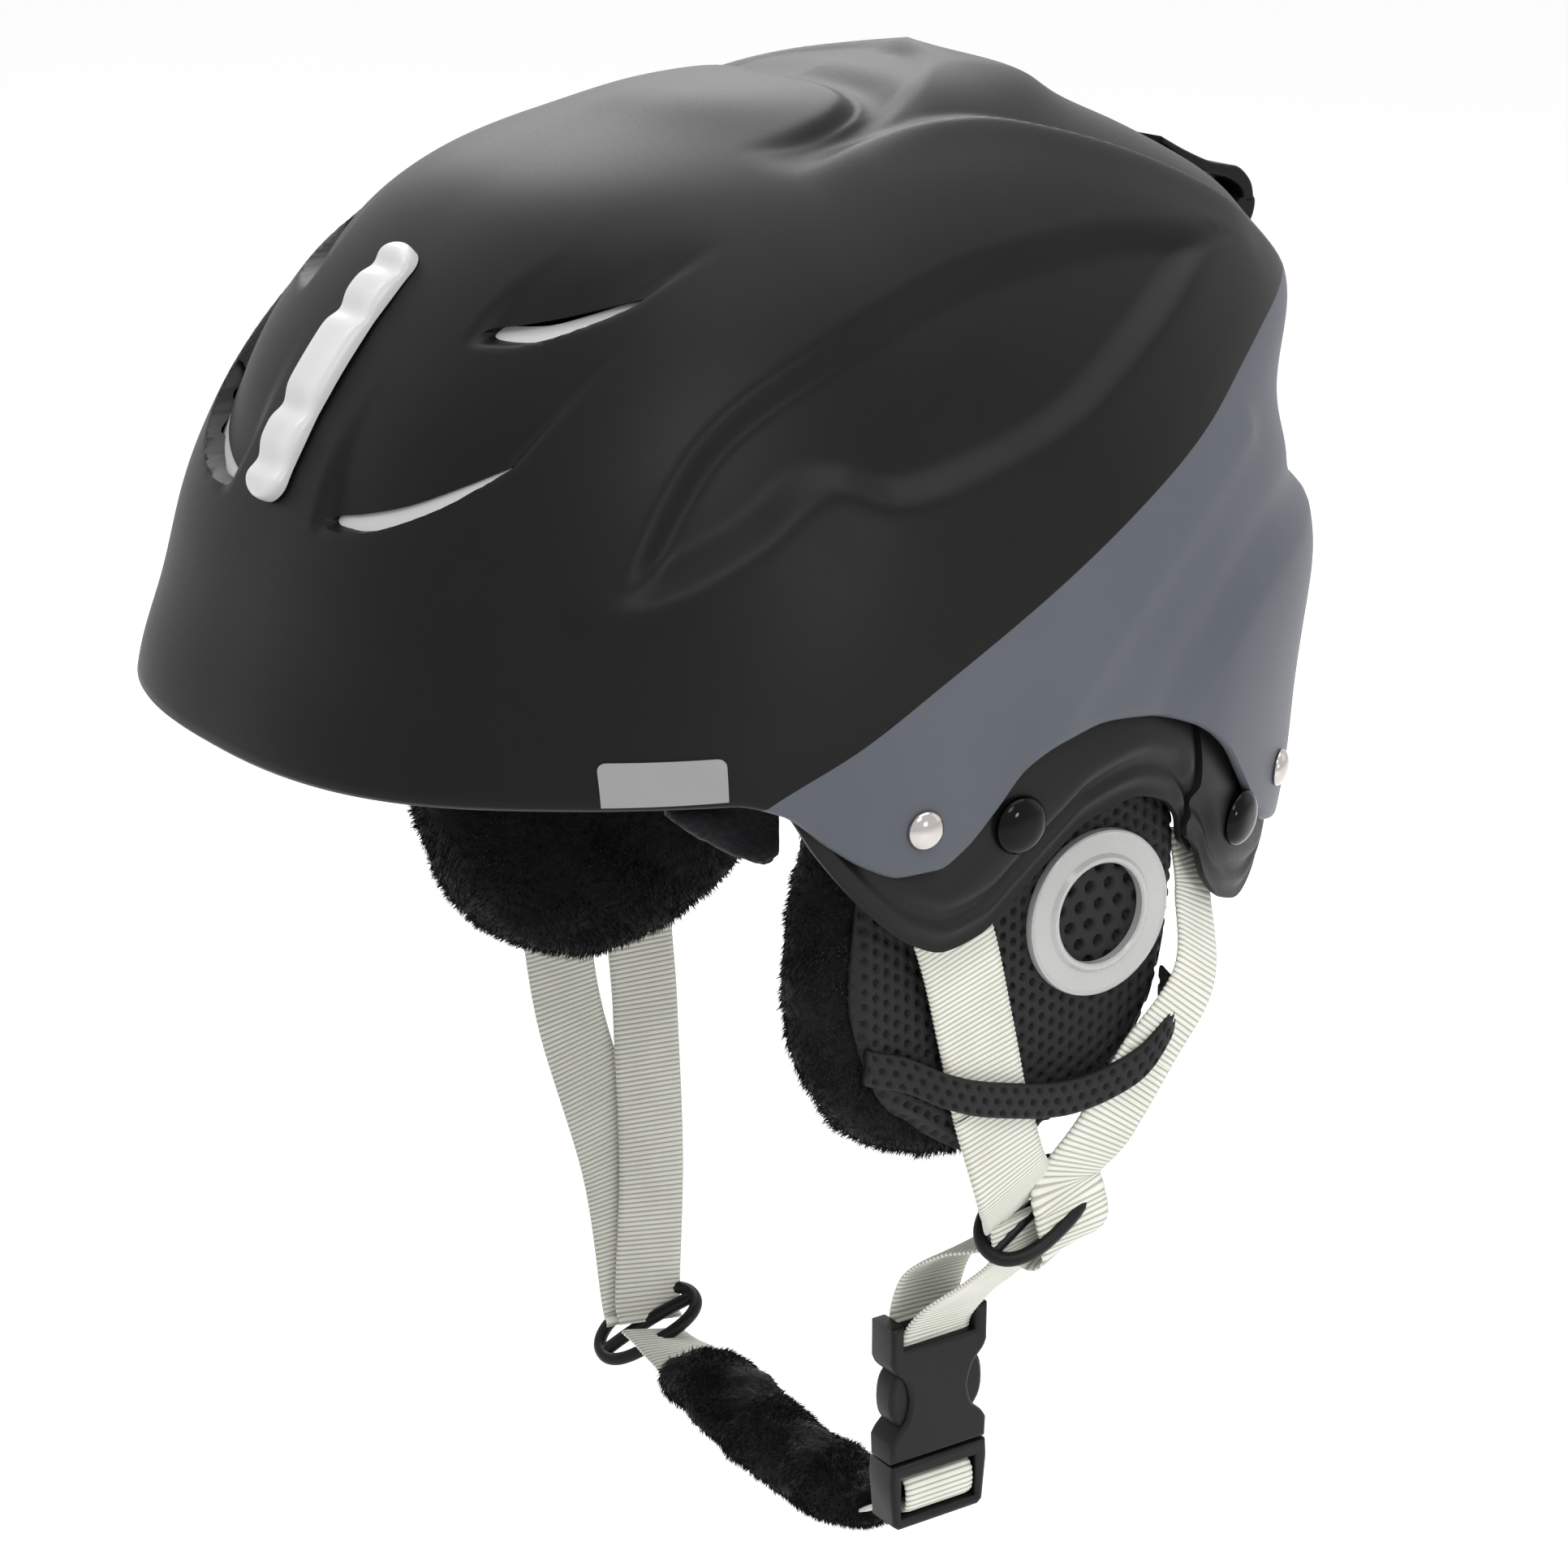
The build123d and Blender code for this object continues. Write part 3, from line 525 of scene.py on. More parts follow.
# lower edge of the shell in side view
RIM = [(-140, -2), (-122, -1.2), (-90, 0.5), (-61, 0), (-51, -3), (-41, -11), (-33, -16.5), (-24, -20),
       (-16, -20), (-10, -17), (-2.5, -10), (5, -2.5), (16, 2), (27, 4), (38, 3), (52.5, -1.5),
       (63.5, -9), (72, -18), (80, -27), (88, -34), (99, -37.5), (112, -38), (135, -35)]
rim_height = table_curve(*zip(*RIM))

# the line between the two colours in side view
PAINT_LINE = [(-75, -16), (-53, -1), (-34, 8), (-16, 18), (11, 32), (35.5, 45), (62.5, 59), (80, 70),
              (92, 76), (113, 82), (135, 84)]
paint_height = table_curve(*zip(*PAINT_LINE))

# ------------------------------------------------------------------ sculpted relief of the shell
# side view (y, z)
LEAF_TOP = through([(-80, 36), (-68, 57), (-54, 72), (-31, 84), (1, 95), (30, 99), (53, 99.6), (78, 96),
                    (91, 91)], 60)
LEAF_LOW = through([(-80, 36), (-66, 40), (-50, 48), (-36, 56.5), (-22, 52.5), (-5, 54.5), (24, 63),
                    (51, 77), (75, 89), (91, 91)], 60)
LEAF_VEIN = through([(-36, 56), (-15, 72), (16, 90)], 20)
REAR_RIDGE = through([(16, 9), (34, 27), (56, 44), (76, 55)], 24)
REAR_LOBE = through([(40, -4), (46, 3), (59, 14), (79, 28), (108, 34), (128, 34)], 30)
# plan view (distance from the centreline, y)
HOOK = through([(0, 17), (12, 19), (24, 19), (34, 15), (41, 5), (44, -8), (43, -20)], 30)
CREST = through([(0, 43), (10, 42.5), (20, 36), (30, 26), (38, 13), (42, 2), (43, -10)], 30)
SHOULDER = through([(56, -18), (52, -4), (49.5, 12), (48.5, 33), (52, 52), (55.5, 72), (60, 98)], 40)
deck_half = table_curve([-18, 0, 18, 34, 50, 98], [45, 42, 36, 27, 20, 18])
shoulder_half = table_curve([-18, -4, 12, 33, 52, 72, 98], [56, 52, 49.5, 48.5, 52, 55.5, 60])
# front view (distance from the centreline, z): lower lip, inner bound and outer bound of each scoop
low_lip = table_curve([15, 30, 42, 52, 66], [45, 46.6, 50.2, 55.8, 66])
high_lip = table_curve([30, 46, 54, 66], [82, 83.2, 86.4, 95])
low_bounds = (table_curve([44, 60, 76], [19, 16, 16.5]), table_curve([56, 71, 84], [60.5, 64, 67]))
high_bounds = (table_curve([82, 90, 99], [34, 34.5, 38]), table_curve([88, 95, 101], [61, 62.5, 64]))
# how far each feature rises or sinks
LEAF_DEPTH, VEIN_DEPTH, LEAF_LIP = 4.6, 1.1, 0.5
DOME_GROOVE, CREST_RISE, CUSP_RISE = 2.6, 1.5, 3.0
CHANNEL_DEPTH, SHOULDER_RISE = 3.4, 0.8
LOW_SCOOP_DEPTH, HIGH_SCOOP_DEPTH = 3.3, 2.6
RIDGE_RISE, LOBE_RISE, LOBE_GROOVE = 1.1, 2.1, 0.9


def scoop(x, z, lip, bounds, depth, reach):
    """The hollow above a vent, deepest at the vent's lower lip."""
    rise = z - lip(x)
    inner = smooth((x - bounds[0](z)) / 4.5)
    outer = smooth((bounds[1](z) - x) / 4.0)
    return -depth * smooth((rise + 0.8) / 2.4) * np.exp(-((np.maximum(rise, 0) / reach) ** 2)) * inner * outer


def relief(p):
    """How far the shell's surface stands proud of the head form."""
    x, y, z = np.abs(p[..., 0]), p[..., 1], p[..., 2]
    # two leaf shaped hollows on each side
    top, _ = to_line(y, z, LEAF_TOP)
    low, _ = to_line(y, z, LEAF_LOW)
    inside = within(y, z, np.vstack([LEAF_TOP, LEAF_LOW[::-1]]))
    share = top / np.maximum(top + low, 1e-6)
    hollow = LEAF_DEPTH * smooth(top / 5.5) * smooth(low / 8.5) * (1 - 0.30 * share)
    _, vein = to_line(y, z, LEAF_VEIN)
    hollow = hollow + (VEIN_DEPTH * smooth(top / 10) * smooth(low / 10) * smooth(vein / 3.5)
                       * (1 - smooth(vein / 34)) * (1 - smooth((y + 12) / 26)))
    at_side = smooth((x - 40) / 20)
    total = -np.where(inside, hollow, 0) + np.where(inside, 0, LEAF_LIP) * bell(low, 6) * at_side
    total = total + np.where(inside, LEAF_LIP, 0) * bell(low, 2.5) * at_side
    # raised front dome, crest behind it, and the shoulder that leads to the back
    high = smooth((z - 88) / 14)
    away, beyond = to_line(x, y, HOOK)
    fade = smooth((y + 22) / 22)
    total = total - DOME_GROOVE * bell(away - 3, 6.5) * np.where(beyond < 0, 1, bell(away, 3.2)) * high * fade
    _, behind = to_line(x, y, CREST)
    total = total + (CREST_RISE * smooth(-behind / 6) * (1 - smooth(-behind / 46)) * high
                     * smooth((y + 14) / 16))
    total = total + CUSP_RISE * np.exp(-np.hypot(x * 0.5, y - 51) / 9)
    out, inn = shoulder_half(y), deck_half(y)
    span = np.clip((out - x) / np.maximum(out - inn, 1), 0, 1)
    in_channel = smooth((out - x) / 7) * (1 - span) ** 1.1
    back = smooth((y + 16) / 26)
    total = total - CHANNEL_DEPTH * in_channel * back * smooth((z - 80) / 14)
    edge, _ = to_line(x, y, SHOULDER)
    total = total + SHOULDER_RISE * bell(edge, 6) * np.where(x > out, 1, bell(edge, 2.5)) * back * high
    # hollows above the vents
    front = smooth((-35 - y) / 15)
    total = total + front * scoop(x, z, low_lip, low_bounds, LOW_SCOOP_DEPTH, 15)
    total = total + front * scoop(x, z, high_lip, high_bounds, HIGH_SCOOP_DEPTH, 10)
    # ridge and lobe at the rear of each side
    ridge, _ = to_line(y, z, REAR_RIDGE)
    total = total + RIDGE_RISE * bell(ridge, 4.5) * smooth((x - 50) / 20)
    _, lobe = to_line(y, z, REAR_LOBE)
    total = total + LOBE_RISE * smooth((lobe + 3) / 7) * (1 - smooth(lobe / 48)) * smooth((y - 40) / 25)
    return total - LOBE_GROOVE * bell(lobe + 5, 4.5) * smooth((y - 36) / 14)


# ------------------------------------------------------------------ shell
SHELL_T = 2.6
RIM_ROLL = 0.9
CUT_FRONT, CUT_BACK = -135, -35
HEAD_MIDDLE = (0, 10, 20)
INNER_PAINT = 50
COLUMNS, ROWS, INNER_ROWS = 460, 132, 34
LOW_SLOT = [(21.2, 46.6), (23.2, 45.4), (33, 46.2), (42, 49.0), (52, 54.2), (59, 60.4), (60.6, 62.6),
            (58, 61.8), (50, 57.0), (40, 52.1), (30, 49.0), (23.0, 47.5)]
HIGH_SLOT = [(36.2, 83.3), (37.8, 82.3), (46, 82.7), (53, 85.0), (59, 89.6), (60.4, 91.6),
             (57, 90.9), (49, 87.6), (41, 85.4), (37, 84.6)]


def build_shell():
    turn = np.linspace(0, 2 * pi, COLUMNS, endpoint=False)
    low = np.zeros(COLUMNS)
    for _ in range(6):
        low = rim_height(form(low, turn)[:, 1])
    deep = np.sqrt(TOP - low)

    def layer(shares, depth):
        w = deep[None, :] * (1 - shares[:, None])
        p = form(TOP - w**2, np.broadcast_to(turn, w.shape))
        normal = grid_normals(p, True)
        return p, normal, p + normal * (relief(p)[..., None] - depth)

    shares = np.linspace(0, 1 - 0.35 / ROWS, ROWS)
    base, normal, outer = layer(shares, 0)
    inner_shares = np.linspace(0, 1 - 0.5 / INNER_ROWS, INNER_ROWS)
    _, _, inner = layer(inner_shares, SHELL_T)
    edge_out, edge_in = outer[0], inner[0]
    down = base[0] - base[1]
    down = down / np.linalg.norm(down, axis=1, keepdims=True)
    rolled = [edge_out + (edge_in - edge_out) * t + down * RIM_ROLL * sin(pi * t) for t in (0.82, 0.5, 0.18)]
    rows = list(inner[::-1]) + rolled + list(outer)
    faces = grid_faces(len(rows), COLUMNS, closed_columns=True)
    tips = np.array([[0, TOP_Y, TOP - SHELL_T], [0, TOP_Y, TOP + 0.02]])
    tips[:, 2] += relief(tips)
    points = np.vstack(rows + [tips])
    last = (len(rows) - 1) * COLUMNS
    for j in range(COLUMNS):
        k = (j + 1) % COLUMNS
        faces.append((k, j, len(points) - 2))
        faces.append((last + j, last + k, len(points) - 1))
    shell = mesh_piece("shell", points, faces, shell_paint, None, ("outer_shell",))
    outward(shell)
    cutters = []
    for outline in (LOW_SLOT, HIGH_SLOT):
        for sign in (1, -1):
            ring = through(outline, 40, closed=True)
            n = len(ring)
            cut = [(sign * u, y, v) for y in (CUT_FRONT, CUT_BACK) for u, v in ring]
            sides = [(i, (i + 1) % n, n + (i + 1) % n, n + i) for i in range(n)]
            cut_faces = sides + [tuple(range(n))[::-1], tuple(range(n, 2 * n))]
            cutter = mesh_piece("cutter", cut, cut_faces, shell_paint, "shell")
            outward(cutter)
            cutters.append(cutter)
    for cutter in cutters:
        cut = shell.modifiers.new("slot", "BOOLEAN")
        cut.operation = "DIFFERENCE"
        cut.solver = "EXACT"
        cut.object = cutter
    apply_modifiers(shell)
    for cutter in cutters:
        bpy.data.objects.remove(cutter)
    shell.data.materials.clear()
    shell.data.materials.append(shell_paint)
    shell.data.shade_smooth()
    shell.data.set_sharp_from_angle(angle=radians(48))
    co = coordinates(shell)
    inner = np.sum(point_normals(shell) * (co - np.array(HEAD_MIDDLE)), 1) < 0
    attribute(shell, "paint", np.where(inner, INNER_PAINT, co[:, 2] - paint_height(co[:, 1])))
    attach(shell, "shell")


build_shell()

# ------------------------------------------------------------------ soft skirts and rear trim
SKIRT_LOW = [(-58, 3), (-50, -3.5), (-43, -14), (-31, -28), (-20, -37), (-12, -40), (-3, -38), (5, -32),
             (14, -25), (24, -18.5), (37, -16), (47.5, -19), (54, -25.5), (58.5, -32.5), (64, -37)]
TRIM_LOW = [(55, -28), (60.5, -33), (66, -42), (76, -50), (86, -53), (97, -50.5), (108, -47), (130, -46)]
SKIRT_DEPTH, SKIRT_T, SKIRT_LIP, SKIRT_TUCK = 2.9, 1.8, 4.6, 2.0
SKIRT_ROWS = 34


def skirt_sheet(name, turns, low_table, side, node, tuck=0.0):
    """A moulded rubber sheet that hangs below the shell's edge, with a ridge along its lower edge."""
    low_curve = table_curve(*zip(*low_table))
    columns = len(turns)
    low = np.full(columns, -25.0)
    high = np.zeros(columns)
    for _ in range(8):
        low = low_curve(form(low, turns)[:, 1])
        high = rim_height(form(high, turns)[:, 1]) + 5
    low = np.minimum(low, high - 2)
    share = np.linspace(0, 1, SKIRT_ROWS)[:, None]
    z = low[None, :] * (1 - share) + high[None, :] * share
    p = form(z, np.broadcast_to(turns, z.shape))
    normal = grid_normals(p, False)
    if np.mean(np.sum(normal * p, -1)) < 0:
        normal = -normal
    drop = z - low[None, :]
    body = np.maximum(high - 5 - low, 0.1)[None, :]
    puff = 2.3 * np.sin(pi * np.clip(drop / np.maximum(body, 6), 0, 1)) * smooth(body / 14)
    from_lip = drop - SKIRT_LIP
    ridge = 0.9 * bell(from_lip, 1.5) - 0.7 * bell(from_lip - 3.4, 2.0) + 0.5 * bell(drop, 1.2)
    lift = (puff * smooth(from_lip / 8) + ridge * smooth(body / 10)) - SKIRT_DEPTH
    lift = lift - tuck * smooth((p[0, :, 1] - 52) / 6)[None]
    outer = p + normal * lift[..., None]
    inner = outer - normal * SKIRT_T
    edge_low = (outer[0] + inner[0]) / 2 + (p[0] - p[1]) * 0.3
    edge_high = (outer[-1] + inner[-1]) / 2
    ring = np.concatenate([outer, edge_high[None], inner[::-1], edge_low[None]])
    ring[..., 0] *= side
    points = ring.reshape(-1, 3)
    loop = len(ring)
    faces = grid_faces(loop, columns, closed_rows=True)
    faces.append([i * columns for i in range(loop)])
    faces.append([i * columns + columns - 1 for i in range(loop)][::-1])
    if side < 0:
        faces = [tuple(f)[::-1] for f in faces]
    mesh_piece(name, points, faces, rubber, "shell", (node,), 60)


start, end = float(side_turn(-55.0, -2.0)), float(side_turn(63.0, -20.0))
for side_name, side in SIDES:
    name = "skirt_" + side_name
    skirt_sheet(name, np.linspace(start, end, 190), SKIRT_LOW, side, name, SKIRT_TUCK)
rear_start = float(side_turn(56.5, -28.0))
skirt_sheet("trim_rear", np.linspace(rear_start, pi - rear_start, 260), TRIM_LOW, 1, "rear_trim")


# ------------------------------------------------------------------ lathed pieces
def lathe(name, centre, axis, profile, material, body, replaces, segments, sharp):
    """A turned piece from a closed profile of (radius, height) steps along an axis."""
    axis = Vector(axis).normalized()
    side = axis.orthogonal().normalized()
    other = axis.cross(side)
    turns = np.linspace(0, 2 * pi, segments, endpoint=False)
    ring = np.outer(np.cos(turns), side) + np.outer(np.sin(turns), other)
    rows = [np.array(centre) + ring * r + np.array(axis) * h for r, h in profile]
    faces = ring_faces(len(rows), segments, closed=True)
    mesh_piece(name, np.vstack(rows), faces, material, body, replaces, sharp)


def dome_profile(radius, height, power):
    """A domed head, from its base up to the middle."""
    profile = [(radius * 0.9, -0.6), (radius, 0.0)]
    steps = 14
    for i in range(1, steps + 1):
        a = i / steps * pi / 2
        profile.append((max(radius * cos(a) ** power, 0.02), height * sin(a)))
    return profile


def heads(name, places, radius, height, lift, material, node, power):
    """Domed heads on both sides as one piece."""
    points, faces = [], []
    profile = dome_profile(radius, height, power)
    segments = 48
    for y, z in places:
        spot, normal = side_frame(y, z, lift)
        for side in (1, -1):
            centre = Vector((spot[0] * side, spot[1], spot[2]))
            axis = Vector((normal[0] * side, normal[1], normal[2]))
            across = axis.orthogonal().normalized()
            other = axis.cross(across)
            faces += ring_faces(len(profile), segments, start=len(points))
            for r, h in profile:
                for k in range(segments):
                    a = 2 * pi * k / segments
                    points.append(centre + axis * h + (across * cos(a) + other * sin(a)) * r)
    mesh_piece(name, points, faces, material, "shell", (node,))


heads("rivet_heads", [(-20, -11), (93, -24)], 4.2, 2.2, 0.3, chrome, "rivets", 1.0)
heads("snap_heads", [(4, -14.5), (74, -29.5)], 6.3, 3.0, -0.4, gloss_black, "snap_caps", 0.75)

# blank badge on the left
badge_y = np.linspace(-84.2, -61.8, 40)
badge_z = np.linspace(0.6, 9.2, 16)
grid_y, grid_z = np.meshgrid(badge_y, badge_z)
corner = 1.6
cut_y = np.clip(np.maximum(badge_y[0] + corner - grid_y, grid_y - badge_y[-1] + corner), 0, None)
cut_z = np.clip(grid_z - badge_z[-1] + corner, 0, None)
over = np.maximum(np.hypot(cut_y, cut_z) / corner, 1)
mid_y = np.clip(grid_y, badge_y[0] + corner, badge_y[-1] - corner)
grid_y = np.where((cut_y > 0) & (cut_z > 0), mid_y + (grid_y - mid_y) / over, grid_y)
low_z = badge_z[-1] - corner
grid_z = np.where((cut_y > 0) & (cut_z > 0), low_z + (grid_z - low_z) / over, grid_z)
stack = np.concatenate([side_frame(grid_y, grid_z, lift)[0].reshape(-1, 3) for lift in (0.45, -0.2)])
mesh_piece("badge_blank", stack, sheet_faces(*grid_y.shape), badge_paint, "shell", ("side_badge",), 40)

# ------------------------------------------------------------------ white vent slider
# the middle and radius of the arc that it slides along, with its ends in degrees
VENT_Y, VENT_Z, VENT_R = 24.0, -15.5, 146.3
SLIDER_LOW, SLIDER_HIGH = 25.0, 48.5
SLIDER_HALF_W, SLIDER_H = 6.0, 5.0
SLIDER_LIFT = 0.5
DIPS = (0.13, 0.33, 0.70, 0.89)
DIP_DEPTH, END_LENGTH = 1.5, 5.0
arc = radians(SLIDER_HIGH - SLIDER_LOW) * VENT_R
steps = np.linspace(0, 1, 220)
end = np.minimum(steps, 1 - steps) * arc
round_end = np.sqrt(np.clip(1 - (1 - np.minimum(end / END_LENGTH, 1)) ** 2, 0, 1))
slider_h = SLIDER_H - sum(DIP_DEPTH * bell((steps - d) * arc, 2.6) for d in DIPS)
waist = 1 - sum(0.03 * bell((steps - d) * arc, 3.0) for d in DIPS)
angles = np.linspace(0, pi, 34)
rings = []
for share, tip, high, slim in zip(steps, round_end, slider_h, waist):
    a = radians(SLIDER_LOW + (SLIDER_HIGH - SLIDER_LOW) * share)
    half = max(SLIDER_HALF_W * tip * slim, 0.05)
    tall = max(high * (0.35 + 0.65 * tip), 0.3)
    cross = [(half * squared(cos(t), 0.75), VENT_R + SLIDER_LIFT + tall * sin(t) ** 0.55) for t in angles]
    rings.append([(u, VENT_Y - r * cos(a), VENT_Z + r * sin(a)) for u, r in cross])
mesh_piece("slider", np.vstack(rings), ring_faces(len(rings), len(angles), flip=True), white_plastic, "vent",
           ("vent_slider",), 70)


# ------------------------------------------------------------------ white shutter behind the slots
SHUTTER_OUT, SHUTTER_IN, SHUTTER_HALF_W = 3.9, 4.8, 63.0


def shutter_band(low_edge, high_edge, half_width):
    """A thin sheet that follows the form between two heights, given against the distance across."""
    x = np.linspace(-half_width, half_width, 81)
    share = np.linspace(0, 1, 12)[:, None]
    z = low_edge(np.abs(x))[None] * (1 - share) + high_edge(np.abs(x))[None] * share
    mid, front, _, half = level_at(z)
    y = mid - front * (1 - np.abs(x[None] / half) ** SQUARENESS) ** (1 / SQUARENESS)
    p = np.stack([np.broadcast_to(x, z.shape), y, z], -1)
    normal = grid_normals(p, False)
    normal *= np.sign(np.sum(normal * (p - np.array([0, 30, 0])), -1, keepdims=True))
    sheets = np.stack([p - normal * SHUTTER_OUT, p - normal * SHUTTER_IN])
    return sheets.reshape(-1, 3), sheet_faces(*z.shape)


def slot_band(lip, inner_end, above):
    """The sheet behind one pair of slots."""
    return shutter_band(lambda x: lip(np.maximum(x, inner_end)) - 4,
                        lambda x: lip(np.maximum(x, inner_end)) + above, SHUTTER_HALF_W)


bridge = shutter_band(lambda x: 0 * x + 50.5, lambda x: 0 * x + 78, 12)
shutter = mesh_piece("shutter", *merged([slot_band(low_lip, 18, 6), slot_band(high_lip, 34, 5), bridge]),
                     white_plastic, "vent", ("vent_shutter",), 40)
outward(shutter)


# ------------------------------------------------------------------ webbing
WEB_W, WEB_T, WEB_STEP = 19.0, 1.3, 0.31
RIB, RIB_H = 1.25, 0.17


def ribbon(name, stations, body, replaces, width=WEB_W, closed=False, blend=None):
    """Webbing with cross ribs through stations of (centre, width direction)."""
    both = np.hstack([through([s[k] for s in stations], 400, closed) for k in (0, 1)])
    if closed:
        both = np.vstack([both, both[:1]])
    line, along = even(both[:, :3], WEB_STEP)
    gaps = np.linalg.norm(np.diff(both[:, :3], axis=0), axis=1)
    travelled = np.concatenate([[0], np.cumsum(gaps)])
    across = np.stack([np.interp(along, travelled, both[:, 3 + k]) for k in range(3)], 1)
    if closed:
        line, along, across = line[:-1], along[:-1], across[:-1]
        tangent = np.roll(line, -1, axis=0) - np.roll(line, 1, axis=0)
    else:
        tangent = np.gradient(line, axis=0)
    tangent /= np.linalg.norm(tangent, axis=1, keepdims=True)
    across -= tangent * np.sum(across * tangent, 1, keepdims=True)
    across /= np.linalg.norm(across, axis=1, keepdims=True)
    up = np.cross(tangent, across)
    wave = 0.5 + 0.5 * np.cos(2 * pi * along / RIB)
    half_w = width / 2 + 0.16 * (wave - 0.5)
    half_t = WEB_T / 2 - RIB_H * (1 - wave)
    across_steps = np.linspace(-1, 1, 13)
    top = [(u, 1.0 if abs(u) < 0.95 else 0.55) for u in across_steps]
    section = top + [(-u, -v) for u, v in top]
    points, rib_shade_values = [], []
    for u, v in section:
        points.append(line + across * (half_w * u)[:, None] + up * (half_t * v)[:, None])
        # painted shade for the webbing: light on the rib crests, dark in the grooves, a little darker at the
        # strap's edges
        rib_shade_values.append(wave * (1.0 if abs(u) < 0.9 else 0.75))
    points = np.stack(points, 1)
    faces = ring_faces(len(line), len(section), closed, flip=True, turned_caps=True)
    made = mesh_piece(name, points.reshape(-1, 3), faces, webbing, body, replaces)
    attribute(made, "rib_shade", np.stack(rib_shade_values, 1).reshape(-1))
    if blend:
        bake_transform(made)


# the stations of each run, on the wearer's left unless the name says right
FRONT_UPPER = [((98.6, -16, -14), (0, 1, 0.15)), ((97.6, -5, -40), (0, 1, 0.25)),
               ((95.8, 2, -62), (0, 1, 0.25)), ((95.3, 6.5, -80), (0, 1, 0.28))]
FRONT_LOWER = [((95.3, 6.5, -80), (0, 1, 0.28)), ((95.3, 12, -97), (0, 1, 0.3))]
LEFT_FRONT_END = [((91.5, 17, -105), (0, 1, 0.38)), ((86, 22, -111.5), (0, 1, 0.45))]
REAR_UPPER = [((84.0, 69, -33), (-0.45, 1, 0.1)), ((87.4, 67.5, -47), (-0.5, 0.95, -0.2)),
              ((96.4, 61, -63), (-0.3, 0.85, -0.45)), ((95.8, 49, -79), (-0.15, 0.8, -0.55))]
REAR_LOWER = [((95.8, 49, -79), (-0.15, 0.8, -0.55)), ((95.0, 38, -94), (-0.12, 0.85, -0.45))]
LEFT_REAR_END = [((90.5, 32, -105), (-0.05, 1, -0.1)), ((90.5, 33, -112), (0, 1, 0.35)),
                 ((90.8, 34, -118), (0, 1, 0.3)), ((88.5, 33.5, -122.5), (0, 1, 0.3)),
                 ((84.5, 32, -122.5), (0, 1, 0.3)), ((82.5, 30, -117), (0, 1, 0.3))]
RIGHT_FRONT_END = [((-92, 15, -125), (0, 1, 0.15)), ((-85, 23, -165), (0, 1, 0.1)),
                   ((-79.5, 25, -200), (0.1, 1, -0.3)), ((-77.5, 25, -206), (0.1, 1, -0.3))]
RIGHT_REAR_END = [((-90, 36, -125), (0, 1, 0.2)), ((-83, 33, -165), (0, 1, 0.1)),
                  ((-77.5, 28, -199), (0.1, 1, -0.3)), ((-74.5, 27, -206), (0.1, 1, -0.3))]


def other_side(stations):
    return [((-x, y, z), (-i, j, k)) for (x, y, z), (i, j, k) in stations]


for side_name, side in SIDES:
    flip = (lambda s: s) if side > 0 else other_side
    pad = "ear_" + side_name
    foot = (0, 0, -112 if side > 0 else -150)
    runs = (("front", FRONT_UPPER, FRONT_LOWER, LEFT_FRONT_END if side > 0 else RIGHT_FRONT_END),
            ("rear", REAR_UPPER, REAR_LOWER, LEFT_REAR_END if side > 0 else RIGHT_REAR_END))
    for place, upper, lower, strap_end in runs:
        ribbon("strap_%s_%s" % (place, side_name), flip(upper), None, ("%s_strap_%s" % (place, side_name),),
               blend=("shell", pad, (0, 0, -14), (0, 0, -73)))
        ribbon("strap_%s_end_%s" % (place, side_name), flip(lower) + strap_end, None, (),
               blend=(pad, "shell", (0, 0, -85), foot))

BUCKLE_X, BUCKLE_Y = 57.0, 20.0
LOWER = [((86, 24, -113), (0, 1, 0.42)), ((84.5, 25, -121), (0, 1, 0.36)), ((77, 24, -131), (0, 1, 0.1)),
         ((66, 21, -142), (0, 1, 0)), ((60.2, BUCKLE_Y, -149.5), (0, 1, 0)),
         ((58.4, BUCKLE_Y, -153.8), (0, 1, 0)), ((56.2, BUCKLE_Y, -152), (0, 1, 0)),
         ((55, BUCKLE_Y, -146), (0, 1, 0)), ((58.5, 21, -136), (0, 1, 0.05)), ((68, 23, -127), (0, 1, 0.2)),
         ((79, 26, -120), (0, 1, 0.38)), ((81.5, 26.5, -114), (0, 1, 0.42))]
ribbon("strap_lower", LOWER, None, ("lower_strap",), blend=("shell", "chin", (83, 26, -116), (58, 20, -146)))
CHIN_ROUTE = [((-71.5, 25.5, -207.2), (0.05, 1, -0.25)), ((-65, 25.5, -207.6), (0, 1, -0.2)),
              ((-50, 25, -208), (0, 1, 0)), ((-20, 24.5, -211.5), (0, 1, 0)), ((10, 23.5, -211), (0, 1, 0)),
              ((38, 22, -205), (0, 1, 0)), ((53.4, BUCKLE_Y, -194.2), (0, 1, 0))]
ribbon("strap_chin", CHIN_ROUTE, None, ("chin_webbing",),
       blend=("chin", "plug", (28, 22, -209), (50, 20, -197)))
WRAP_R = 4.3
wrap = []
for i in range(16):
    a = 2 * pi * i / 16
    wrap.append(((BUCKLE_X + 0.2 + WRAP_R * squared(cos(a), 0.7), BUCKLE_Y,
                  -190.7 + WRAP_R * squared(sin(a), 0.7)), (0, 1, 0)))
ribbon("strap_wrap", wrap, "plug", ("plug_webbing",), closed=True, width=18.6)


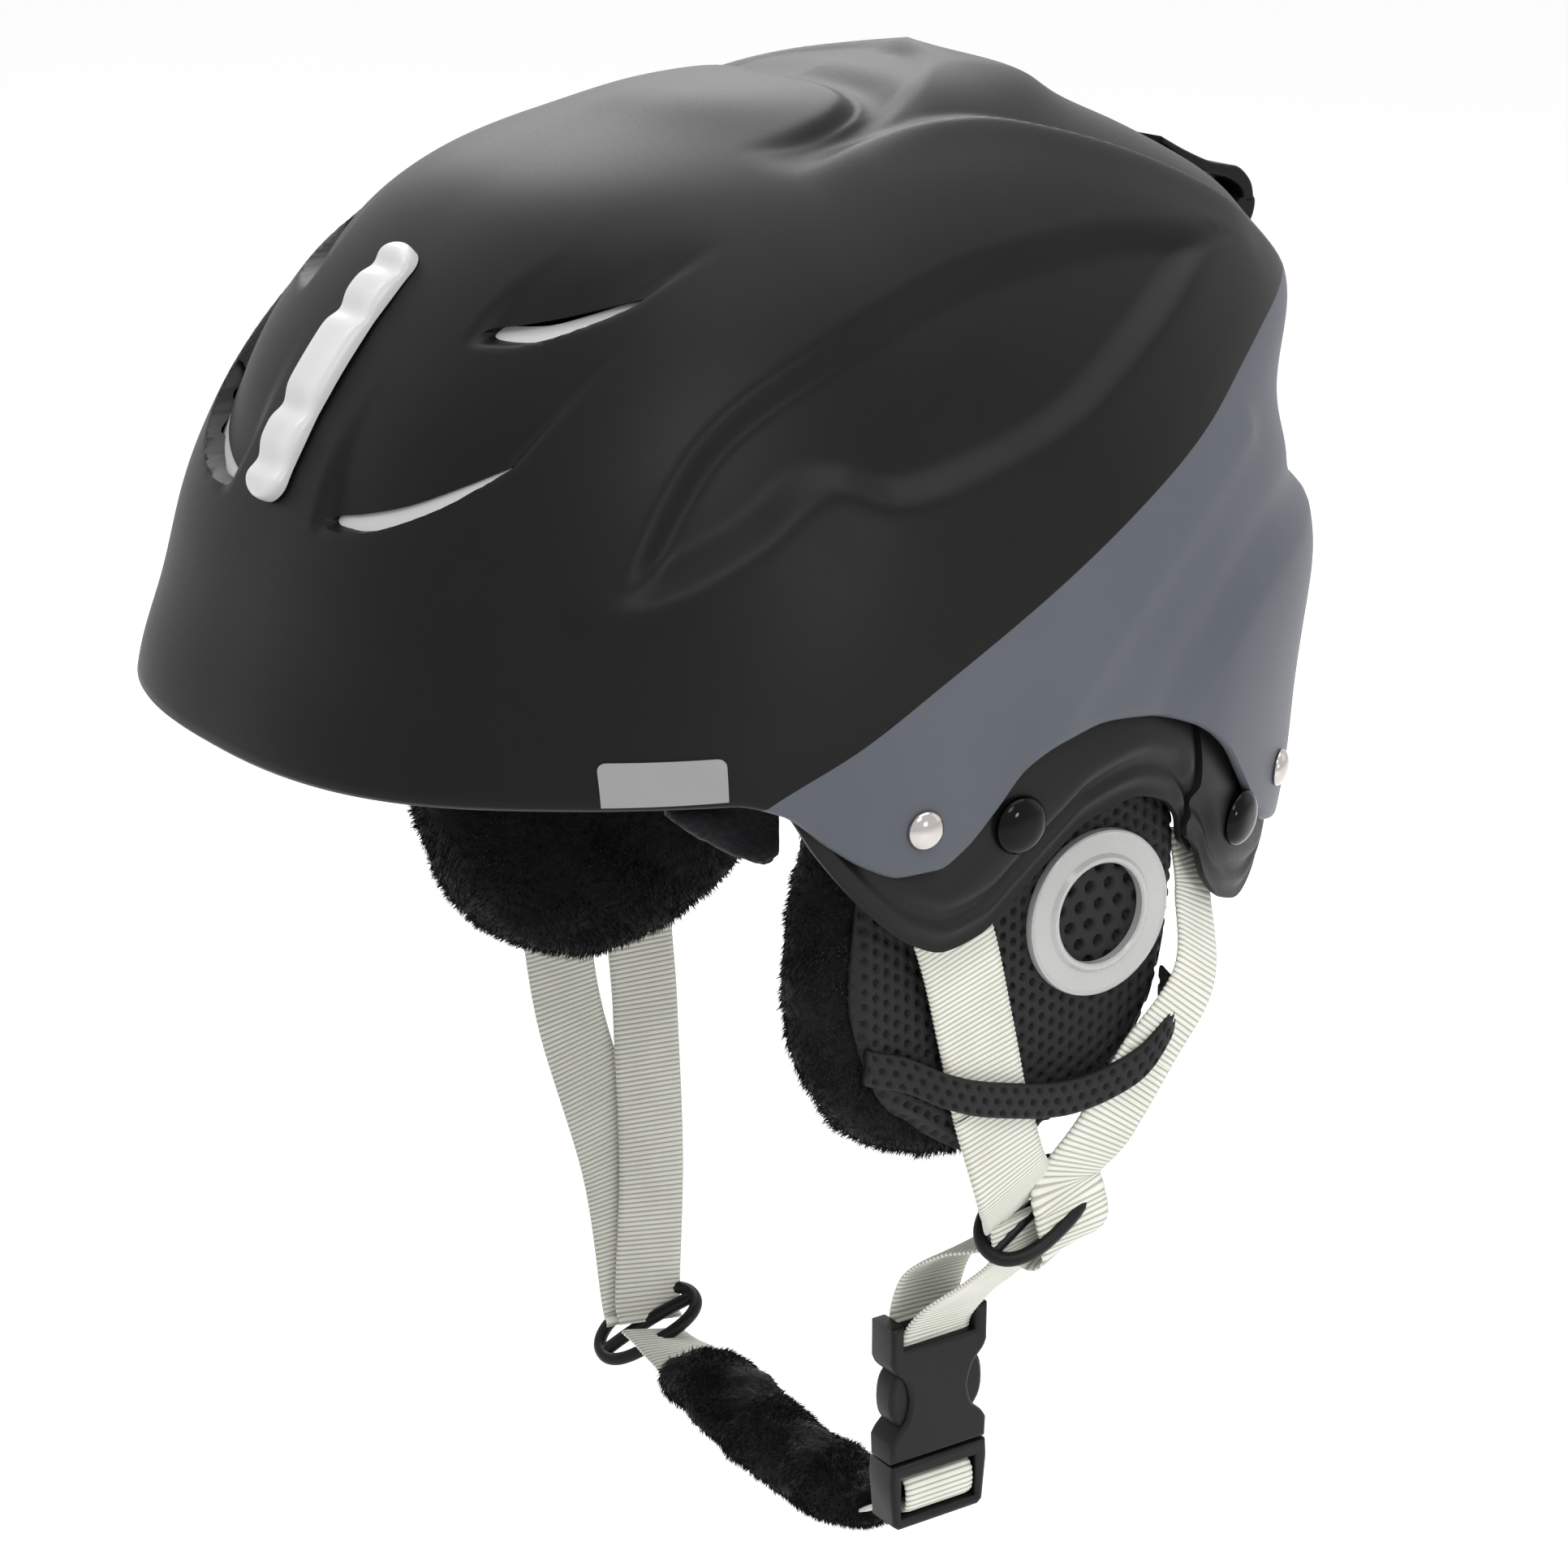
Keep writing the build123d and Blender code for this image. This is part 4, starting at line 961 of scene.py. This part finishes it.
# ------------------------------------------------------------------ bars and flat plates
def bar(name, line, radius, body, closed=True, flat=1.0):
    """A round black bar along a line."""
    line = np.asarray(line, float)
    tangent = (np.roll(line, -1, 0) - np.roll(line, 1, 0)) if closed else np.gradient(line, axis=0)
    tangent /= np.linalg.norm(tangent, axis=1, keepdims=True)
    guide = np.linalg.svd(line - line.mean(0))[2][-1]
    side = np.cross(tangent, guide)
    side /= np.linalg.norm(side, axis=1, keepdims=True)
    over = np.cross(side, tangent)
    turns = np.linspace(0, 2 * pi, 20, endpoint=False)
    points = np.stack([line + side * (radius * cos(t)) + over * (radius * flat * sin(t)) for t in turns], 1)
    faces = ring_faces(len(line), len(turns), closed, turned_caps=True)
    return mesh_piece(name, points.reshape(-1, 3), faces, black_plastic, body)


def join(name, pieces, body, replaces, sharp=None):
    """One piece out of several new ones, with the first one's material."""
    parts = [(coordinates(p), [tuple(f.vertices) for f in p.data.polygons]) for p in pieces]
    material = pieces[0].data.materials[0]
    for piece in pieces:
        bpy.data.objects.remove(piece)
    return mesh_piece(name, *merged(parts), material, body, replaces, sharp)


def divider(name, centre, long_way, normal, replaces):
    """An oval ring with a cross bar, round in section and bowed towards the head."""
    n = Vector(normal).normalized()
    u = Vector(long_way)
    u = (u - n * u.dot(n)).normalized()
    v = n.cross(u)
    half_l, half_w, thick, bowed = 14.0, 7.6, 1.65, 1.2
    oval = []
    for i in range(72):
        a = 2 * pi * i / 72
        flat = squared(cos(a), 0.8) * half_l
        bow = bowed * (flat / half_l) ** 2
        oval.append(Vector(centre) + u * flat + v * (squared(sin(a), 0.9) * half_w) - n * bow)
    across = [Vector(centre) + u * (half_l * t) - n * (bowed * t * t + 0.2)
              for t in np.linspace(-0.95, 0.95, 24)]
    ring = bar("ring", oval, thick, "shell")
    cross = bar("bar", across, thick * 0.95, "shell", closed=False, flat=1.15)
    join(name, [ring, cross], "shell", (replaces,))


divider("ladder_left", (85, 27, -113.5), (-0.1, 0.9, 0.42), (0.55, -0.36, 0.75), "divider_left")
divider("ladder_right", (-75, 26, -206), (0, 0.93, -0.36), (0.2, -0.5, 0.85), "divider_right")


def plate(name, outlines, middle_x, thickness, bevel, material, body, replaces=()):
    """A flat moulding in side view, with holes where outlines lie inside the first, and rounded edges."""
    data = bpy.data.curves.new(name, "CURVE")
    data.dimensions = "2D"
    data.fill_mode = "BOTH"
    data.extrude = (thickness / 2 - bevel) * MM
    data.bevel_depth = bevel * MM
    data.bevel_resolution = 3
    data.offset = -bevel * MM
    for outline in outlines:
        spline = data.splines.new("POLY")
        spline.points.add(len(outline) - 1)
        for point, (y, z) in zip(spline.points, outline):
            point.co = (y * MM, z * MM, 0, 1)
        spline.use_cyclic_u = True
    holder = add_object(name + "_curve", data)
    mesh = evaluated_mesh(holder)
    bpy.data.objects.remove(holder)
    flat = np.array([v.co for v in mesh.vertices]) / MM
    points = np.stack([flat[:, 2] + middle_x, flat[:, 0], flat[:, 1]], 1)
    faces = [tuple(f.vertices) for f in mesh.polygons]
    return mesh_piece(name, points, faces, material, body, replaces, 50)


def cross_bar(name, half_length, x, z, radius, body):
    """A bar through the buckle, for webbing to loop round."""
    line = [(x, BUCKLE_Y + t, z) for t in np.linspace(-half_length, half_length, 12)]
    return bar(name, line, radius, body, closed=False)


def mirrored(half):
    """A closed outline from its right half, given from top to bottom as (offset, z)."""
    return [(BUCKLE_Y + u, z) for u, z in half] + [(BUCKLE_Y - u, z) for u, z in half[::-1]]


waist_line = through([(13.4, -156.5), (12.4, -158.6), (9.6, -161.6), (8.3, -165.5), (8.3, -168),
                      (9.4, -171.6), (12.2, -174.4), (13.5, -176.4)], 22)
socket_half = [(9.9, -153.4), (9.9, -147.4), (13.4, -147.4), *map(tuple, waist_line), (13.3, -181.4)]
socket = plate("socket_body", [mirrored(socket_half)], BUCKLE_X, 9.0, 1.1, black_plastic, "chin")
socket_bar = cross_bar("socket_bar", 11, BUCKLE_X - 0.8, -150.3, 1.3, "chin")
join("buckle_shell", [socket, socket_bar], "chin", ("buckle_socket",), 50)

PRONG = through([(7.6, -160.6), (9.8, -159), (12.2, -161.5), (13.0, -166), (12.4, -170.4), (10.2, -173.8),
                 (9.0, -176), (8.8, -181.2), (7.0, -181.2), (7.2, -172)], 40, closed=True)
for name, sign in (("front", -1), ("rear", 1)):
    plate("latch_" + name, [[(BUCKLE_Y + sign * u, z) for u, z in PRONG]], BUCKLE_X, 6.6, 1.2, black_plastic,
          "prong_" + name, ("prong_" + name,))

plug_outer = mirrored([(13.3, -181.9), (13.6, -186), (12.6, -197.2), (11.2, -198.4)])
plug_inner = mirrored([(10.4, -185.6), (10.4, -195.8)])
plug_tongue = mirrored([(3.4, -160), (3.4, -182.5)])
plug = [plate("plug_frame", [plug_outer, plug_inner], BUCKLE_X, 9.6, 1.1, black_plastic, "plug"),
        plate("plug_tongue", [plug_tongue], BUCKLE_X, 4.4, 0.5, black_plastic, "plug"),
        cross_bar("plug_rod", 11.5, BUCKLE_X, -190.6, 1.9, "plug")]
join("buckle_male", plug, "plug", ("buckle_plug",), 50)


# goggle clip: a thin arm that bows down to its two lugs, in side view (y, z)
CLIP_OVER = through([(111.0, 105.2), (118.0, 101.6), (125.5, 98.4), (130.5, 97.2), (134.6, 96.2),
                     (138.2, 92.6), (139.4, 87.8)], 40)
CLIP_UNDER = through([(136.2, 87.6), (135.0, 91.4), (131.0, 94.0), (124.5, 96.0), (117.0, 99.8),
                      (110.6, 103.6)], 36)
CLIP_LUG = through([(139.4, 89.0), (139.2, 85.0), (136.8, 81.6), (133.6, 81.5), (131.9, 84.2), (133.2, 87.0),
                    (135.6, 89.2)], 40, closed=True)
CLIP_HALF_W, CLIP_GAP = 17.0, 4.6
bow = plate("clip_bow", [np.vstack([CLIP_OVER, CLIP_UNDER])], 0, 2 * CLIP_HALF_W, 0.7, shell_paint, "clip")
lugs = [plate("clip_lug", [CLIP_LUG], sign * (CLIP_HALF_W + CLIP_GAP) / 2, CLIP_HALF_W - CLIP_GAP, 0.7,
              shell_paint, "clip") for sign in (1, -1)]
clip = join("goggle_clip", [bow] + lugs, "clip", ("clip_arm",), 50)
attribute(clip, "paint", np.ones(len(clip.data.vertices)))


# ------------------------------------------------------------------ padded pieces
CLOTH_PRESSURE, CLOTH_FRAMES = 4.0, 20
HAIR_W = 0.34


def inflate(made, voxel, cap):
    """Swells a closed mesh with a cloth run, no point further than the cap, and applies the result."""
    remesh = made.modifiers.new("voxels", "REMESH")
    remesh.mode = "VOXEL"
    remesh.voxel_size = voxel * MM
    apply_modifiers(made)
    rest = coordinates(made)
    cloth = made.modifiers.new("cloth", "CLOTH")
    cloth.settings.use_pressure = True
    cloth.settings.uniform_pressure_force = CLOTH_PRESSURE
    cloth.settings.effector_weights.gravity = 0
    cloth.settings.quality = 4
    cloth.point_cache.frame_start = 1
    cloth.point_cache.frame_end = CLOTH_FRAMES
    for step in range(1, CLOTH_FRAMES + 1):
        bpy.context.scene.frame_set(step)
    apply_modifiers(made)
    bpy.context.scene.frame_set(1)
    shift = coordinates(made) - rest
    far = np.linalg.norm(shift, axis=1, keepdims=True)
    set_coordinates(made, rest + shift * np.minimum(1, cap / np.maximum(far, 1e-9)))
    made.data.update()


def ruffle(made, amount, size, seed):
    """Pushes points along their normals by smooth noise."""
    normals = point_normals(made)
    co = coordinates(made)
    offset = Vector((seed * 7.3, seed * 3.1, seed * 5.7))
    push = np.array([noise.noise(Vector(p) / size + offset)
                     + 0.5 * noise.noise(Vector(p) * 2.3 / size + offset) for p in co])
    set_coordinates(made, co + normals * (push * amount)[:, None])
    made.data.update()


def pile(name, skin, count, length, seed, body, lean, keep=None):
    """Short tapering hairs over a skin, as one piece."""
    random = np.random.default_rng(seed)
    mesh = skin.data
    mesh.calc_loop_triangles()
    corners = coordinates(skin)
    triangles = np.array([t.vertices for t in mesh.loop_triangles])
    a, b, c = corners[triangles[:, 0]], corners[triangles[:, 1]], corners[triangles[:, 2]]
    cross = np.cross(b - a, c - a)
    area = np.linalg.norm(cross, axis=1)
    normal = cross / np.maximum(area, 1e-9)[:, None]
    if keep is not None:
        area = area * keep((a + b + c) / 3, normal)
    chosen = random.choice(len(area), count, p=area / area.sum())
    r1, r2 = np.sqrt(random.random(count)), random.random(count)
    root = (a[chosen] * (1 - r1)[:, None] + b[chosen] * (r1 * (1 - r2))[:, None]
            + c[chosen] * (r1 * r2)[:, None])
    n = normal[chosen]
    x, y, z = root.T
    swirl = np.stack([np.sin(y / 5.1 + z / 3.7), np.sin(z / 4.3 + x / 6.1), np.sin(x / 4.7 + y / 5.9)], 1)
    way = n * 0.62 + np.array(lean) + 0.45 * swirl + random.normal(0, 0.26, (count, 3))
    way /= np.linalg.norm(way, axis=1, keepdims=True)
    side = np.cross(way, random.normal(0, 1, (count, 3)))
    side /= np.linalg.norm(side, axis=1, keepdims=True)
    long = length * random.uniform(0.6, 1.15, count)[:, None]
    root = root - n * 0.3
    half = side * HAIR_W / 2
    points = np.stack([root - half, root + half, root + way * long], 1).reshape(-1, 3)
    mesh_piece(name, points, np.arange(count * 3).reshape(-1, 3), plush, body)


EAR_EDGE = [(-30, -8), (-36, -43), (-34, -64), (-23, -85), (0, -95), (22, -93), (40, -85), (51.5, -73),
            (57, -58), (59.3, -35), (57, -7)]
EAR_MID = np.array([9.0, -54.0])
KNIT_MID = np.array([13.0, -53.0])
EAR_OUT, EAR_IN = 93.5, 71.0
RING_Y, RING_Z = 35.3, -43.5
RING_PROFILE = [(11.2, 0), (11.2, 1.9), (11.6, 2.3), (12.4, 2.3), (12.9, 1.8), (13.2, 1.5), (17.4, 1.5),
                (17.9, 1.8), (18.3, 1.6), (18.5, 1.0), (18.5, 0)]
BAND_LINE = [(93.2, -24, -66), (95.2, -15, -69), (97.6, -6, -74), (98, 6, -78.5), (98, 26, -82.5),
             (98.2, 44, -79.5), (97.2, 53, -73), (94, 57.5, -68.5), (89, 58, -66)]
EAR_TOP = [(57, -7), (25, -5), (-8, -5), (-30, -8)]
ear_ring_line = np.vstack([through(EAR_EDGE, 200), through(EAR_TOP, 60)[1:-1]])
ear_ring_line, _ = even(np.vstack([ear_ring_line, ear_ring_line[:1]]), 1.1)
ear_ring_line = ear_ring_line[:-1]


def lattice(u, v, pitch_u, pitch_v):
    """1 at the middle of each hole of a staggered lattice, falling towards the yarn between."""
    first, second = 2 * pi * u / pitch_u, 2 * pi * v / pitch_v
    return (np.cos(first) + np.cos(first / 2 + second) + np.cos(first / 2 - second)) / 3
def holes_at(u, v, pitch_u, pitch_v):
    """1 in the holes of the knit and 0 on its yarn."""
    return smooth((lattice(u, v, pitch_u, pitch_v) - 0.15) / 0.5)


def ear_plush(side_name, side, body):
    """The plush body of an ear pad, wrapped a little onto the outer face, with its hair."""
    count = len(ear_ring_line)
    middle, thick = (EAR_OUT - 1.6 + EAR_IN) / 2, (EAR_OUT - 1.6 - EAR_IN) / 2 - 0.6
    rows = []
    for a in [pi * i / 30 for i in range(1, 30)]:
        flat = EAR_MID + (ear_ring_line - EAR_MID) * (sin(a) ** 0.42 * 0.975)
        rows.append(np.column_stack([np.full(count, (middle + squared(cos(a), 0.62) * thick) * side), flat]))
    faces = ring_faces(len(rows), count, flip=side < 0)
    fur = mesh_piece("ear_plush_" + side_name, np.vstack(rows), faces, plush, None,
                     ("ear_fur_" + side_name, "ear_core_" + side_name))
    inflate(fur, 2.6, 2.2)
    co = coordinates(fur)
    if side < 0:
        # the far pad's plush hangs fuller on its inner side
        inner = np.clip((EAR_OUT - 3 + co[:, 0]) / (EAR_OUT - EAR_IN - 3), 0, 1)
        full = smooth((-28 - co[:, 2]) / 50) * inner
        co += np.outer(full, (15.0, 3.0, -4.0))
    limit = EAR_OUT - 1.3
    co[:, 0] = np.where(co[:, 0] * side > limit, limit * side, co[:, 0])
    set_coordinates(fur, co)
    ruffle(fur, 0.9, 7, 1 + side)
    finish_piece(fur, plush, body)

    def hairy(middles, normals):
        outer = (middles[:, 0] * side > EAR_OUT - 3.2) & (normals[:, 0] * side > 0.75)
        inset = (middles[:, 1] > -22) & (middles[:, 2] > -84)
        return np.where(outer & inset, 0.0, 1.0)

    pile("ear_pile_" + side_name, fur, 34000, 2.6, 11 + side, body, (0, -0.15, -0.45), hairy)


def ear_knit(side_name, side, body):
    """The knitted outer face of an ear pad, with wider holes inside the ring."""
    count = len(ear_ring_line)
    inset = np.array([9.5 if y < -18 else 9.5 - 7.5 * min((y + 18) / 26, 1) for y in ear_ring_line[:, 0]])
    rays = ear_ring_line - KNIT_MID
    rays = rays * (1 - inset / np.linalg.norm(rays, axis=1))[:, None]
    fine = np.stack([np.interp(np.linspace(0, count, 330, endpoint=False), np.arange(count + 1),
                               np.append(rays[:, k], rays[0, k])) for k in range(2)], 1)
    rows, hole_shading = [], []
    for share in np.linspace(0.02, 1, 96):
        flat = KNIT_MID + fine * share
        in_ring = np.hypot(flat[:, 0] - RING_Y, flat[:, 1] - RING_Z) < 11.6
        hole = np.where(in_ring, holes_at(flat[:, 1], flat[:, 0], 4.2, 5.2),
                        holes_at(flat[:, 0], flat[:, 1], 2.7, 3.4))
        edge = smooth((share - 0.93) / 0.07)
        dip = np.where(in_ring, 1.5, 0.75) * hole + 1.9 * edge
        rows.append(np.column_stack([(EAR_OUT - dip) * side, flat]))
        # painted shade for the holes, faded out towards the rim
        hole_shading.append(hole * (1 - edge))
    n = len(fine)
    rim_back = rows[-1] - np.array([1.2 * side, 0, 0])
    rows += [rim_back, np.column_stack([np.full(n, (EAR_OUT - 3.2) * side), KNIT_MID + fine * 0.5])]
    faces = ring_faces(len(rows), n, flip=side > 0)
    cover = mesh_piece("ear_knit_" + side_name, np.vstack(rows), faces, knit, body,
                       ("ear_cover_" + side_name, "ear_mesh_" + side_name))
    attribute(cover, "hole", np.concatenate(hole_shading + [np.zeros(2 * n)]))


def ear_band(side_name, side, body):
    """The knitted band that holds the straps to the pad."""
    line, along = even(through(BAND_LINE, 200), 0.4)
    rows, hole_shading = [], []
    for s, spot in zip(along, line):
        row = []
        for face in (1, -1):
            for t in np.linspace(-1, 1, 17) * face:
                hole = float(holes_at(np.array(t * 3.9), np.array(s), 2.6, 3.3))
                edge = abs(t) ** 8
                push = face * (1.1 - 0.55 * hole) * (1 - 0.55 * edge)
                row.append(((spot[0] + push) * side, spot[1] + 0.12 * t, spot[2] + 3.9 * t))
                # painted shade for the band's holes, faded out at its edges
                hole_shading.append(hole * (1 - edge))
        rows.append(row)
    faces = ring_faces(len(rows), len(rows[0]), flip=side > 0)
    band = mesh_piece("ear_band_" + side_name, np.vstack(rows), faces, knit, body,
                      ("strap_keeper_" + side_name,))
    attribute(band, "hole", hole_shading)


for side_name, side in SIDES:
    body = "ear_" + side_name
    ear_plush(side_name, side, body)
    ear_knit(side_name, side, body)
    middle = ((EAR_OUT + 0.05) * side, RING_Y, RING_Z)
    lathe("ear_ring_" + side_name, middle, (side, 0, 0), RING_PROFILE, frosted, body,
          ("ear_ring_" + side_name,), 96, 30)
    ear_band(side_name, side, body)

# chin pad, a plush sleeve round the webbing
SLEEVE_HALF_W, SLEEVE_HALF_T, SLEEVE_SIDES = 12.6, 5.6, 56
chin_line, _ = even(through([(-52, 25, -208), (-36, 25, -209.5), (-20, 24.5, -211.5), (10, 23.5, -211),
                             (28, 22.5, -208), (41, 22, -203.5)], 200), 1.2)
rows = []
for i, spot in enumerate(chin_line):
    share = i / (len(chin_line) - 1)
    taper = 0.82 + 0.18 * min(share, 1 - share, 0.12) / 0.12
    tangent = chin_line[min(i + 1, len(chin_line) - 1)] - chin_line[max(i - 1, 0)]
    tangent /= np.linalg.norm(tangent)
    up = np.cross(tangent, (0, 1, 0))
    row = []
    for k in range(SLEEVE_SIDES):
        a = 2 * pi * k / SLEEVE_SIDES
        u = squared(cos(a), 0.8) * SLEEVE_HALF_W * taper
        v = squared(sin(a), 0.8) * SLEEVE_HALF_T * taper
        row.append(spot + np.array((0, 1, 0)) * u + up * v)
    rows.append(row)
sleeve = mesh_piece("chin_plush", np.vstack(rows), ring_faces(len(rows), SLEEVE_SIDES), plush, None,
                    ("chin_pad",))
inflate(sleeve, 2.2, 1.6)
ruffle(sleeve, 1.3, 8, 5)
finish_piece(sleeve, plush, "chin")
pile("chin_pile", sleeve, 30000, 2.3, 21, "chin", (0.35, -0.1, -0.35))

# liner pads and flaps grow from their CAD solids
for index, name in enumerate(("brow_pad", "crown_pad", "nape_pad", "side_pad_left", "side_pad_right",
                              "liner_flap_left", "liner_flap_right")):
    soft = add_object("soft_" + name, nodes[name].data.copy())
    inflate(soft, 2.0 if "flap" in name else 2.6, 0.8)
    ruffle(soft, 0.5, 6, index + 3)
    finish_piece(soft, fleece, "shell", (name,))

# ------------------------------------------------------------------ CAD nodes that stay
KEPT = {
    "foam_liner": foam, "slider_screws": steel, "clip_base": black_plastic,
    "clip_pin": steel, "rivet_washers": steel, "snap_sockets": steel,
}
for name, material in KEPT.items():
    node = nodes[name]
    if not node.data.materials:
        node.data.materials.append(material)
    for place in node.material_slots:
        place.material = material
    if name.startswith("clip_"):
        rounding = node.modifiers.new("rounding", "BEVEL")
        rounding.width = 0.5 * MM
        rounding.segments = 2
        rounding.limit_method = "ANGLE"
        rounding.angle_limit = radians(35)

# ------------------------------------------------------------------ floor, light and camera
bpy.ops.mesh.primitive_plane_add(size=120, location=(0, 0, cad_low.z - 0.09))
floor = bpy.context.object
floor.name = "floor"
floor_look, tree, bsdf, place = shader("pale_floor")
ramp(tree, noise_value(tree, place, 0.5), 0.3, 0.7, greys(0.965, 0.975), bsdf.inputs["Base Color"])
dials(bsdf, Roughness=0.9)
floor.data.materials.append(floor_look)

world = bpy.data.worlds.new("studio")
bpy.context.scene.world = world
world.use_nodes = True
dials(world.node_tree.nodes["Background"], Color=(1, 1, 1, 1), Strength=1.0)


def softbox(name, place, target, size, power):
    light = bpy.data.lights.new(name, "AREA")
    light.shape = "RECTANGLE"
    light.size, light.size_y = size
    light.energy = power
    lamp = add_object(name, light)
    lamp.location = place
    lamp.rotation_euler = (Vector(target) - Vector(place)).to_track_quat("-Z", "Y").to_euler()


softbox("key", (0.9, -0.5, 1.1), (0, 0, 0), (0.5, 0.5), 6)
softbox("top", (0.0, 0.2, 1.3), (0, 0, 0.05), (1.2, 1.2), 9)
softbox("rear", (0.5, 1.2, 0.5), (0, 0, 0), (0.7, 0.9), 0.8)
softbox("window", (0.98, 0.11, 0.17), (0.1, 0, 0), (0.13, 0.15), 1.6)
softbox("back", (-0.95, 0.5, 0.85), (0, 0, 0.05), (0.9, 0.9), 9)

AZIMUTH, ELEVATION, DISTANCE = radians(56), radians(18), 0.850
TARGET = Vector((0, 0.0186, -0.0373))
camera = bpy.data.cameras.new("camera")
camera.lens = 85.05
camera.sensor_width = 36
camera.clip_start, camera.clip_end = 0.01, 50
view = add_object("camera", camera)
toward = Vector((sin(AZIMUTH) * cos(ELEVATION), -cos(AZIMUTH) * cos(ELEVATION), sin(ELEVATION)))
view.location = TARGET + toward * DISTANCE
view.rotation_euler = (-toward).to_track_quat("-Z", "Y").to_euler()
bpy.context.scene.camera = view
bpy.context.scene.view_settings.view_transform = "Standard"
